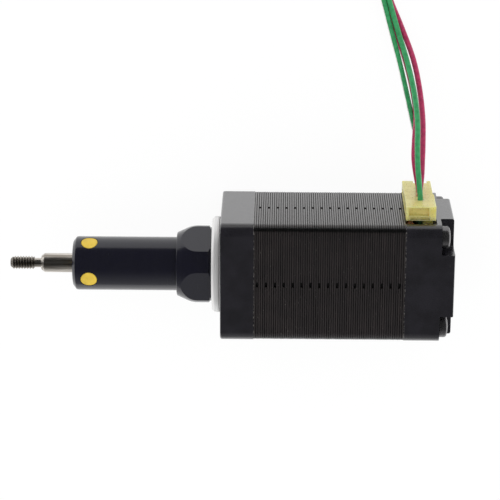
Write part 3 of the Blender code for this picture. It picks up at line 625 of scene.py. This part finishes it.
def filleted(profile, radius, steps=3, closed=True):
    """A (x, radius) profile with rounded corners. A third number in a point overrides the fillet there."""
    out = []
    count = len(profile)
    for here, point in enumerate(profile):
        corner = Vector(point[:2])
        wanted = point[2] if len(point) > 2 else radius
        if not closed and here in (0, count - 1) or wanted == 0:
            out.append(tuple(corner))
            continue
        before = Vector(profile[here - 1][:2]) - corner
        after = Vector(profile[(here + 1) % count][:2]) - corner
        reach = min(wanted, before.length * 0.45, after.length * 0.45)
        start, end = corner + before.normalized() * reach, corner + after.normalized() * reach
        for step in range(steps + 1):
            t = step / steps
            out.append(tuple(start * (1 - t) ** 2 + corner * 2 * t * (1 - t) + end * t**2))
    return out


def circle(radius, steps, centre=(0.0, 0.0)):
    angles = [math.tau * step / steps for step in range(steps)]
    return [(centre[0] + radius * math.cos(a), centre[1] + radius * math.sin(a)) for a in angles]


def turned_mesh(name, profile, steps=96, centre=(0.0, 0.0)):
    """Turns (x, radius) points about the shaft's axis, or about a line beside it."""
    closed = profile[0][1] > 0
    work = bmesh.new()
    rows = []
    for x, radius in profile:
        if radius < 1e-6:
            rows.append([work.verts.new(Vector((x, centre[0], centre[1])) * MM)])
            continue
        rows.append([
            work.verts.new(Vector((x, y, z)) * MM)
            for y, z in circle(radius, steps, centre)
        ])
    pairs = list(zip(rows, rows[1:]))
    if closed:
        pairs.append((rows[-1], rows[0]))
    for near, far in pairs:
        join_rows(work, near, far)
    mesh = mesh_from(name, work)
    mesh.transform(TO_ROW)
    return mesh


def block(low, high, turn=0.0, corner=0.0):
    """A box as a mesh, turned about the shaft's axis, with its four edges along the shaft rounded."""
    (x0, y0, z0), (x1, y1, z1) = low, high
    outline = [(y0, z0), (y1, z0), (y1, z1), (y0, z1)]
    if corner:
        outline = filleted(outline, corner, 5)
    cosine, sine = math.cos(math.radians(turn)), math.sin(math.radians(turn))
    outline = [(y * cosine + z * sine, z * cosine - y * sine) for y, z in outline]
    return lofted("block", [[(x, y, z) for y, z in outline] for x in (x0, x1)])


def carved(name, mesh, cutters, operation="DIFFERENCE"):
    """The mesh with each cutter taken out of it, or joined to it."""
    body = bpy.data.objects.new(name, mesh)
    helpers = [body]
    bpy.context.scene.collection.objects.link(body)
    for cutter in cutters:
        helper = bpy.data.objects.new("cutter", cutter)
        bpy.context.scene.collection.objects.link(helper)
        change = body.modifiers.new("cut", "BOOLEAN")
        change.object = helper
        change.operation = operation
        change.solver = "EXACT"
        helpers.append(helper)
    graph = bpy.context.evaluated_depsgraph_get()
    result = bpy.data.meshes.new_from_object(body.evaluated_get(graph))
    for helper in helpers:
        bpy.data.objects.remove(helper)
    result.name = name
    return result


def rounded_square(side, radius, steps=9):
    outline = []
    reach = side / 2 - radius
    for quarter in range(4):
        turn = quarter * math.pi / 2
        for step in range(steps + 1):
            angle = turn + step / steps * math.pi / 2
            middle = turn + math.pi / 4
            outline.append((
                reach * math.sqrt(2) * math.cos(middle) + radius * math.cos(angle),
                reach * math.sqrt(2) * math.sin(middle) + radius * math.sin(angle),
            ))
    return outline


def casing_block(name, start, end, start_edge, end_edge, steps=5):
    """A length of the square casing with rounded end edges."""
    loops = []
    for edge, face, sign in ((start_edge, start, 1), (end_edge, end, -1)):
        rows = []
        for step in range(steps + 1):
            angle = step / steps * math.pi / 2
            rows.append((face + sign * edge * (1 - math.sin(angle)), edge * (1 - math.cos(angle))))
        loops += rows[::-1] if sign > 0 else rows
    return lofted(name, [
        [(x, y, z) for y, z in rounded_square(SQUARE - 2 * inset, CORNER_RADIUS - inset)]
        for x, inset in loops
    ])


# ---------------------------------------------------------------- leads


def smooth_route(points, steps=8):
    """A Catmull-Rom curve through the points."""
    points = [Vector(point) for point in points]
    ends = [points[0] * 2 - points[1], *points, points[-1] * 2 - points[-2]]
    fine = []
    for a, b, c, d in zip(ends, ends[1:], ends[2:], ends[3:]):
        for part in range(steps):
            t = part / steps
            fine.append(0.5 * (
                2 * b + (c - a) * t + (2 * a - 5 * b + 4 * c - d) * t**2 + (3 * b - a - 3 * c + d) * t**3
            ))
    return [*fine, points[-1]]


def eased(value, low, high):
    """0 before low, 1 after high, and a smooth rise between them."""
    share = max(0.0, min(1.0, (value - low) / (high - low)))
    return share * share * (3 - 2 * share)


def round_coil(radius, angle, height):
    x, y = COIL_CENTRE
    return Vector((x + radius * math.cos(angle), y + radius * math.sin(angle), height))


def coil_point(name, turn):
    """A point of this lead after so many turns of the coil, in millimetres in the row frame.

    The bundle of four winds one turn outside and one inside it, climbs, and goes back the same way on top.
    """
    column, layer, end_column = BUNDLE[name]
    inward = eased(turn, 0.85, 1.0) - eased(turn, 2.5, 2.68)
    climb = eased(turn, 1.68, 1.84)
    opening = eased(turn, FULL_TURNS + 0.22, FULL_TURNS + 0.36)
    radius = 12.92 - LEAD_PITCH * (column + 2 * inward)
    height = 0.49 + LEAD_PITCH * (layer + 2 * climb)
    radius += (TIN_FIRST_RADIUS + LEAD_PITCH * end_column - radius) * opening
    height += (4.35 - height) * opening
    degrees = COIL_ENTRY + 360 * turn
    from_tie = abs((degrees - 90 + 180) % 360 - 180)
    height += 0.24 * (1 - eased(from_tie, 7, 30))
    angle = math.radians(degrees)
    return round_coil(radius, angle, height)


def lead_route(name):
    """From inside the plug, along the CAD tube's points, and round the coil to where the insulation ends."""
    points = LEAD_ROUTES[name]
    x, _, z = points[0]
    count = round(TURNS * 30)
    wound = [coil_point(name, TURNS * step / count) for step in range(1, count + 1)]
    return smooth_route([(x, 11.0, z), (x, 11.9, z), *points], 6) + smooth_route(wound, 3)


def tube_rows(route, radius, sides):
    """Rings round a route, carried along it without twist."""
    rows = []
    along = (route[1] - route[0]).normalized()
    across = along.orthogonal().normalized()
    for here, point in enumerate(route):
        ahead = (route[min(here + 1, len(route) - 1)] - route[max(here - 1, 0)]).normalized()
        across = (across - ahead * across.dot(ahead)).normalized()
        beside = ahead.cross(across)
        rows.append([
            point + (across * math.cos(turn) + beside * math.sin(turn)) * radius
            for turn in (math.tau * side / sides for side in range(sides))
        ])
    return rows


def add_tube(work, route, radius, sides):
    """A round wire with closed ends along a route in the row frame."""
    rows = [[work.verts.new(point * MM) for point in row] for row in tube_rows(route, radius, sides)]
    for near, far in zip(rows, rows[1:]):
        join_rows(work, near, far)
    work.faces.new(rows[0])
    work.faces.new(rows[-1])


def make_tin(name, number):
    """The last millimetres of a lead: its strands, twisted and tinned."""
    steps, hidden_steps, strands, twist_step = 24, 4, 6, 0.16
    radius = TIN_FIRST_RADIUS + LEAD_PITCH * BUNDLE[name][2]
    height = coil_point(name, TURNS).z
    route = [
        round_coil(radius, math.radians(TIN_START) + TIN_LENGTH / radius * step / steps, height)
        for step in range(-hidden_steps, steps + 1)
    ]
    rows = tube_rows(route, TIN_RADIUS * 0.62, strands)
    work = bmesh.new()
    for strand in range(strands):
        path = []
        for step, centre in enumerate(route):
            along = route[min(step + 1, len(route) - 1)] - route[max(step - 1, 0)]
            twist = Matrix.Rotation(step * twist_step, 3, along.normalized())
            path.append(centre + twist @ (rows[step][strand] - centre))
        add_tube(work, path, TIN_RADIUS * 0.36, 8)
    add_tube(work, route[:-1], TIN_RADIUS * 0.36, 8)
    tip = f"tinned_tip_{number}"
    return piece(tip, mesh_from(tip, work), "tinned_copper", [f"tinned_end_{number}"])


def make_leads():
    white_sides = {"lead_red_white": (5, 6, 7), "lead_green_white": (9, 10, 11)}
    for number, (name, points) in enumerate(LEAD_ROUTES.items(), 1):
        slot = SLOT_OF[name]
        route = lead_route(name)
        work = bmesh.new()
        add_tube(work, route, LEAD_RADIUS, TUBE_SIDES)
        mesh = mesh_from(f"{name}_wire", work)
        mesh.materials.append(LOOKS[slot])
        mesh.materials.append(STRIPE)
        for face in mesh.polygons:
            face.material_index = int(face.index % TUBE_SIDES in white_sides.get(name, ()))
        wire = piece(f"{name}_wire", mesh, slot, [name, "lead_coil"], angle=60)
        tin = make_tin(name, number)


def make_tie():
    """A nylon strap drawn round the turns, with its lock on top."""
    inner, outer = 9.42, 13.62
    top = 4.3
    thickness = 0.22
    outline = filleted([(inner, 0.0), (outer, 0.0), (outer, top), (inner, top)], 0.7, 6)
    hole = filleted([
        (inner + thickness, thickness), (outer - thickness, thickness), (outer - thickness, top - thickness),
        (inner + thickness, top - thickness),
    ], 0.5, 6)
    work = bmesh.new()
    rows = []
    for x, shrink in ((-1.25, 0.05), (-1.2, 0.0), (1.2, 0.0), (1.25, 0.05)):
        middle = Vector(((inner + outer) / 2, top / 2))
        ring = []
        for loop, sign in ((outline, -1), (hole, 1)):
            ring.append([])
            for y, z in loop:
                away = (Vector((y, z)) - middle).normalized() * shrink * sign
                place = Vector((COIL_CENTRE[0] + x, COIL_CENTRE[1] + y + away.x, z + away.y))
                ring[-1].append(work.verts.new(place * MM))
        rows.append(ring)
    count = len(outline)
    for near, far in zip(rows, rows[1:]):
        for loop in (0, 1):
            for here in range(count):
                there = (here + 1) % count
                work.faces.new((near[loop][here], near[loop][there], far[loop][there], far[loop][here]))
    for ring in (rows[0], rows[-1]):
        for here in range(count):
            there = (here + 1) % count
            work.faces.new((ring[0][here], ring[0][there], ring[1][there], ring[1][here]))
    piece("coil_strap", mesh_from("coil_strap", work), "tie_plastic", ["coil_tie"])


make_leads()
make_tie()


# ---------------------------------------------------------------- casing


def hole_at(profile, y, z, steps=32):
    return turned_mesh("hole", profile, steps, (y, z))


def corner_places():
    return [(SCREW_PLACE * sy, SCREW_PLACE * sz) for sy in (1, -1) for sz in (1, -1)]


def tapped_profile(depth):
    """An M2 hole: a countersunk mouth and the thread's grooves."""
    points = [(-0.5, 0), (-0.5, 1.3), (-0.02, 1.3), (0.3, 1.0)]
    place = 0.3
    while place < depth - 0.4:
        points += [(place + 0.2, 0.8), (place + 0.4, 1.0)]
        place += 0.4
    return [*points, (depth, 0.8), (depth + 0.3, 0)]


def make_front_cap():
    register, spigot_hole, bore, end = PILOT_RADIUS + 0.03, SPIGOT_RADIUS + 0.03, 2.5, FRONT_CAP_END + PAST
    hollow = [
        (-PAST, 0), (-PAST, register), (0.5, register), (0.5, spigot_hole), (1.7, spigot_hole), (1.7, bore),
        (2.3, bore), (2.3, SEAT_RADIUS), (4.6, SEAT_RADIUS), (4.6, SEAT_WALL_RADIUS), (3.3, SEAT_WALL_RADIUS),
        (3.3, CAVITY_RADIUS), (end, CAVITY_RADIUS), (end, 0),
    ]
    through = [(2.5, 0), (2.5, THROUGH_RADIUS), (end, THROUGH_RADIUS), (end, 0)]
    mesh = carved("front_cap_casting", casing_block("front", 0, FRONT_CAP_END - 0.01, EDGE_RADIUS, 0.07), [
        turned_mesh("hollow", hollow),
        *[hole_at(tapped_profile(2.5), y, z) for y, z in corner_places()],
        *[hole_at(through, y, z) for y, z in corner_places()],
    ])
    even(piece("front_cap_casting", mesh, "cap_paint", ["front_cap"]))


def make_rear_cap():
    start = STACK_END - 0.01
    low, high, outside = STACK_END - PAST, MOTOR_LENGTH + PAST, 12
    hollow = [
        (low, 0), (low, CAVITY_RADIUS), (33.4, CAVITY_RADIUS), (33.4, SEAT_WALL_RADIUS),
        (30.9, SEAT_WALL_RADIUS), (30.9, SEAT_RADIUS), (35.0, SEAT_RADIUS), (35.0, 0),
    ]
    through = [(low, 0), (low, THROUGH_RADIUS), (high, THROUGH_RADIUS), (high, 0)]
    spans = ((POCKET_WALL, outside), (-outside, -POCKET_WALL))
    pockets = [
        block((POCKET_START, y0, z0), (high, y1, z1), corner=1.1) for y0, y1 in spans for z0, z1 in spans
    ]
    window = block((low, 6.3, -5.9), (35.0, outside, 5.9))
    recess = block((low, RECESS_FLOOR, -RECESS_HALF), (35.05, outside, RECESS_HALF), corner=0.25)
    mesh = carved("rear_cap_casting", casing_block("rear", start, MOTOR_LENGTH, 0.07, EDGE_RADIUS), [
        turned_mesh("hollow", hollow), *[hole_at(through, y, z) for y, z in corner_places()],
        *pockets, window, recess,
    ])
    even(soften(piece("rear_cap_casting", mesh, "cap_paint", ["rear_cap"]), 0.09, 2))


def toothed_bore():
    """The space between the poles, as in the CAD model: eight poles of five teeth, and their slots."""
    poles, teeth, half = 8, 5, math.radians(17.0)
    bore, tooth, shoe, bottom, neck = 5.3, 0.3, 6.2, 8.6, 1.1
    outline = []
    for pole in range(poles):
        middle = pole * math.tau / poles
        pitch = 2 * half / teeth
        arc = [(middle - half, shoe)]
        for number in range(teeth):
            start = middle - half + number * pitch
            arc += [(start, bore), (start + 0.6 * pitch, bore)]
            if number < teeth - 1:
                arc += [(start + 0.6 * pitch, bore + tooth), (start + pitch, bore + tooth)]
        arc.append((middle + half, shoe))
        foot_turn, shoe_turn = math.asin(neck / bottom), math.asin(neck / shoe)
        gap = math.pi / poles - foot_turn
        outline += [(middle - foot_turn, bottom), (middle - shoe_turn, shoe), *arc]
        outline += [(middle + shoe_turn, shoe), (middle + foot_turn, bottom)]
        outline += [(middle + foot_turn + share * gap, bottom) for share in (0.5, 1.0, 1.5)]
    return [(radius * math.cos(angle), radius * math.sin(angle)) for angle, radius in outline]


def sheet_outline(inset, notched=None):
    """A lamination's outline. Each side has room for the notch, and the notched side has it pushed in."""
    half, edge, depth, slope = 0.42, SQUARE / 2 - 0.07 - inset, 0.4, 0.03
    corner = CORNER_RADIUS - 0.07 - inset
    middle = edge - corner
    outline = []
    for side in range(4):
        turn = side * math.pi / 2
        points = []
        for step in range(9):
            angle = -math.pi / 4 + step / 8 * math.pi / 4
            points.append((middle + corner * math.cos(angle), -middle + corner * math.sin(angle)))
        inner = edge - (depth if side == notched else 0)
        points += [(edge, -half - slope), (inner, -half), (inner, half), (edge, half + slope)]
        for step in range(8):
            angle = step / 8 * math.pi / 4
            points.append((middle + corner * math.cos(angle), middle + corner * math.sin(angle)))
        cosine, sine = math.cos(turn), math.sin(turn)
        outline += [(u * cosine - v * sine, u * sine + v * cosine) for u, v in points]
    return outline


def make_stack():
    """Every lamination's edge stands a little proud of the joints, and one side in turn has its notch."""
    dice = random.Random(20)
    notch_side = (3, 1, 0, 2)  # sides run +Y, +Z, -Y, -Z
    loops = []
    for number in range(LAMINATIONS):
        start = FRONT_CAP_END + number * SHEET
        proud = dice.uniform(-0.012, 0.012)
        side = notch_side[number % 4]
        rise, fall = start + JOINT_EDGE, start + SHEET - JOINT_EDGE
        loops += [(start, JOINT_DEPTH, None), (rise, proud, side), (fall, proud, side)]
    loops.append((FRONT_CAP_END + LAMINATIONS * SHEET, JOINT_DEPTH, None))
    work = bmesh.new()
    rows = [
        [work.verts.new(Vector((x, y, z)) * MM) for y, z in sheet_outline(inset, notched)]
        for x, inset, notched in loops
    ]
    skins = [rows]
    ends = (loops[0][0], loops[-1][0])
    for outline in [toothed_bore(), *[circle(THROUGH_RADIUS, 24, place) for place in corner_places()]]:
        skins.append([[work.verts.new(Vector((x, y, z)) * MM) for y, z in outline] for x in ends])
    for skin in skins:
        for near, far in zip(skin, skin[1:]):
            join_rows(work, near, far)
    for end in (0, -1):
        edges = []
        for skin in skins:
            loop = skin[end]
            edges += [work.edges.get((loop[k], loop[(k + 1) % len(loop)])) for k in range(len(loop))]
        bmesh.ops.triangle_fill(work, edges=edges, use_beauty=True)
    mesh = mesh_from("laminated_stack", work)
    mesh.transform(TO_ROW)
    piece("laminated_stack", mesh, "lamination_steel", ["stator_stack"], angle=25)


def make_assembly_screws():
    """Cheese-head screws with a cross recess, sunk in the rear cap's pockets."""
    seat = POCKET_START + 0.02
    profile = filleted([
        (SCREW_TIP, 0), (SCREW_TIP, SCREW_RADIUS, 0.2), (seat, SCREW_RADIUS, 0), (seat, HEAD_RADIUS, 0.1),
        (seat + 1.15, HEAD_RADIUS, 0.35), (seat + 1.4, 1.1, 0.4), (seat + 1.45, 0),
    ], 0.1, 4, closed=False)
    places = [(SCREW_PLACE * sy, SCREW_PLACE * sz) for sy, sz in ((1, 1), (-1, 1), (-1, -1), (1, -1))]
    for number, (y, z) in enumerate(places, 1):
        turn = 20 + 37 * number
        recess = []
        for quarter in (0, 90):
            cosine, sine = math.cos(math.radians(turn + quarter)), math.sin(math.radians(turn + quarter))
            long_half, short_half = 1.05, 0.2
            corners = []
            for u, v in ((-1, -1), (1, -1), (1, 1), (-1, 1)):
                a, b = u * long_half, v * short_half
                corners.append((a * cosine - b * sine, a * sine + b * cosine))
            recess.append(lofted("recess", [
                [(x, y + a * shrink, z + b * shrink) for a, b in corners]
                for x, shrink in ((seat + 0.55, 0.35), (seat + 2.0, 1.35))
            ]))
        mesh = carved(f"cap_screw_{number}", turned_mesh("screw", profile, 48, (y, z)), recess)
        even(piece(f"cap_screw_{number}", mesh, "screw_steel", [f"assembly_screw_{number}"]))


# ---------------------------------------------------------------- pilot, boss and sleeve


def make_pilot():
    profile = filleted([
        (SEATED, BOSS_RADIUS + 0.02), (-PILOT_PROUD, BOSS_RADIUS + 0.02), (-PILOT_PROUD, PILOT_RADIUS - 0.4),
        (-PILOT_PROUD + 0.4, PILOT_RADIUS), (-0.3, PILOT_RADIUS), (-0.22, PILOT_RADIUS - 0.12),
        (SEATED, PILOT_RADIUS - 0.12),
    ], 0.05, 2)
    mesh = turned_mesh("pilot_register", profile, ROUND_STEPS)
    even(piece("pilot_register", mesh, "machined_aluminium", ["pilot_ring"]))


def make_boss():
    """The nose is turned, and four wrench flats are milled across it."""
    bore = SLEEVE_RADIUS + 0.02
    profile = filleted([
        (SPIGOT_END, bore), (BOSS_NOSE, bore), (BOSS_NOSE, BOSS_NOSE_RADIUS, 0.18),
        (BOSS_SHOULDER, BOSS_RADIUS, 0.9), (-2.0, BOSS_RADIUS), (-1.85, 6.1), (-1.45, 6.1),
        (-1.3, BOSS_RADIUS - 0.02), (SEATED, BOSS_RADIUS - 0.02), (SEATED, SPIGOT_RADIUS),
        (SPIGOT_END, SPIGOT_RADIUS),
    ], 0.08, 5)
    flats = [
        block((-9.0, -8.0, FLAT_DISTANCE), (FLAT_END, 8.0, 9.0), FLAT_TURN + 90 * quarter)
        for quarter in range(4)
    ]
    mesh = carved("clamp_boss", turned_mesh("clamp_boss", profile, ROUND_STEPS), flats)
    even(soften(piece("clamp_boss", mesh, "black_anodised", ["sleeve_boss"]), 0.07, 2, 22))


def radial_mesh(name, profile, turn, steps=40):
    """Turns (height above the axis, radius) points about a line that stands out of the sleeve."""
    work = bmesh.new()
    rows = []
    for height, radius in profile:
        if radius < 1e-6:
            rows.append([work.verts.new(Vector((PLUG_PLACE, 0, height)) * MM)])
            continue
        row = []
        for step in range(steps):
            angle = math.tau * step / steps
            u, v = radius * math.cos(angle), radius * math.sin(angle)
            level = height
            if height > SLEEVE_RADIUS - 0.45:  # follows the tube's round
                level = math.sqrt(height**2 - v**2)
            row.append(work.verts.new(Vector((PLUG_PLACE + u, v, level)) * MM))
        rows.append(row)
    for near, far in zip(rows, rows[1:]):
        join_rows(work, near, far)
    mesh = mesh_from(name, work)
    mesh.transform(TO_ROW @ Matrix.Rotation(-math.radians(turn), 4, "X"))
    return mesh


def make_sleeve():
    profile = filleted([
        (SLEEVE_REAR, SLEEVE_BORE), (SLEEVE_FRONT, SLEEVE_BORE, 0.1),
        (SLEEVE_FRONT, SLEEVE_RADIUS - 0.7, 0.05),
        (SLEEVE_FRONT + 0.5, SLEEVE_RADIUS - 0.06, 0.1), (SLEEVE_FRONT + 0.75, SLEEVE_RADIUS, 0.1),
        (SLEEVE_REAR, SLEEVE_RADIUS),
    ], 0.1, 4)
    slot = block((-18.9, -0.9, -3.9), (0.4, 0.9, 3.9))
    hole = PLUG_RADIUS + 0.05
    hole_profile = [(2.4, 0), (2.4, hole), (3.9, hole), (5.4, hole), (5.4, 0)]
    holes = [radial_mesh("hole", hole_profile, PLUG_TURN + 90 * quarter) for quarter in range(4)]
    mesh = carved("sleeve_tube", turned_mesh("sleeve_tube", profile, ROUND_STEPS), [slot, *holes])
    even(soften(piece("sleeve_tube", mesh, "black_anodised", ["guide_sleeve"]), 0.03, 2))
    skin = SLEEVE_RADIUS - 0.015
    dish = skin - 0.03
    profile = [
        (3.35, 0), (3.35, PLUG_RADIUS), (skin - 0.08, PLUG_RADIUS), (skin, PLUG_RADIUS - 0.07),
        (skin, PLUG_RADIUS - 0.2), (dish, PLUG_RADIUS - 0.27), (dish, 0.8), (dish, 0.4), (dish, 0),
    ]
    for number in range(1, 5):
        mesh = radial_mesh(f"guide_pad_{number}", profile, PLUG_TURN + 90 * (number - 1))
        piece(f"guide_pad_{number}", mesh, "yellow_plastic", [f"guide_plug_{number}"])


def make_bushing():
    front, bore = SLEEVE_FRONT + 0.3, ROD_RADIUS + 0.05
    profile = filleted([
        (front, bore, 0.25), (front, SLEEVE_BORE - 0.03, 0.15), (BUSHING_REAR, SLEEVE_BORE - 0.03),
        (BUSHING_REAR, bore),
    ], 0.15, 4)
    mesh = turned_mesh("mouth_bushing", profile, 80)
    even(piece("mouth_bushing", mesh, "bushing_plastic", ["guide_bushing"]))


def make_rod():
    """Ground rod, undercut and a real 2-56 thread with a chamfered nose."""
    steps = 48
    profile = filleted([
        (-6.1, 0), (-6.1, ROD_RADIUS), (ROD_SHOULDER + 0.55, ROD_RADIUS, 0.08), (ROD_SHOULDER, 1.15, 0.08),
        (ROD_SHOULDER, UNDERCUT_RADIUS, 0.1), (THREAD_REAR, UNDERCUT_RADIUS, 0.05),
    ], 0.1, 4, closed=False)
    rows = [[(x, radius)] * steps for x, radius in profile]
    fine = 14
    start, end = THREAD_REAR, ROD_TIP
    count = round((start - end) / THREAD_PITCH * fine)
    root = THREAD_RADIUS - 0.245
    for number in range(count + 1):
        x = start + (end - start) * number / count
        row = []
        for step in range(steps):
            phase = (x / THREAD_PITCH - step / steps) % 1.0
            flank = min(1.0, max(0.0, (0.5 - abs(phase - 0.5)) * 2 * 1.25 - 0.08))
            radius = root + (THREAD_RADIUS - root) * flank
            nose = THREAD_RADIUS - max(0.0, 0.5 - (x - end)) * 0.9
            radius = min(radius, nose)
            radius = min(radius, UNDERCUT_RADIUS + (start - x) * 1.4)
            row.append((x, radius))
        rows.append(row)
    work = bmesh.new()
    unit = circle(1.0, steps)
    skin = []
    for row in rows:
        if row[0][1] < 1e-6:
            skin.append([work.verts.new(Vector((row[0][0], 0, 0)) * MM)])
            continue
        skin.append([
            work.verts.new(Vector((x, radius * y, radius * z)) * MM) for (x, radius), (y, z) in zip(row, unit)
        ])
    for near, far in zip(skin, skin[1:]):
        join_rows(work, near, far)
    work.faces.new(skin[-1])
    mesh = mesh_from("threaded_rod", work)
    mesh.transform(TO_ROW)
    piece("threaded_rod", mesh, "rod_stainless", ["output_shaft"], body="output_rod", angle=30)


# ---------------------------------------------------------------- plug


def make_plug():
    """A six-way housing with a rib down its rear side, hollow ends and a cable notch. Four ways are wired."""
    narrow = block((HOUSING_FRONT, HOUSING_FOOT, -HOUSING_HALF), (34.72, HOUSING_TOP, 0.5))
    wide = block((HOUSING_FRONT, HOUSING_FOOT, 0.2), (HOUSING_BACK, HOUSING_TOP, HOUSING_HALF))
    insert = block((33.1, 7.7, -5.2), (34.55, HOUSING_FOOT + 0.5, 5.2))
    body = carved("plug", narrow, [wide, insert], "UNION")
    cutters = [
        block((30.5, 10.95, 6.1), (33.75, 12.3, 8.0)), block((30.75, 10.3, 6.45), (33.9, 10.78, 8.0)),
        block((30.5, 10.95, -8.0), (33.75, 12.3, -6.1)), block((31.8, 11.3, -8.0), (34.1, 13.0, -5.7)),
        block((29.9, 10.8, -5.9), (30.22, 11.7, 5.9)),
    ]
    for way in range(WAYS):
        z = (WAYS - 1) / 2 * WAY_PITCH - WAY_PITCH * way
        outline = circle(0.58, 20, (32.5, z))
        cutters.append(lofted("way", [[(x, y, z) for x, z in outline] for y in (10.9, 13.5)]))
        cutters.append(block((33.4, 7.0, z - 0.5), (34.4, 9.9, z + 0.5)))
    mesh = carved("plug_shell", body, cutters)
    even(soften(piece("plug_shell", mesh, "nylon", ["plug_housing"]), 0.12, 3))


make_front_cap()
make_rear_cap()
make_stack()
make_assembly_screws()
make_pilot()
make_boss()
make_sleeve()
make_bushing()
make_rod()
make_plug()

# The pieces inside the motor keep their CAD shapes
for node, made in frame["nodes"].items():
    if not made.hide_render:
        made.data.materials.clear()
        made.data.materials.append(LOOKS[SLOT_OF[node]])
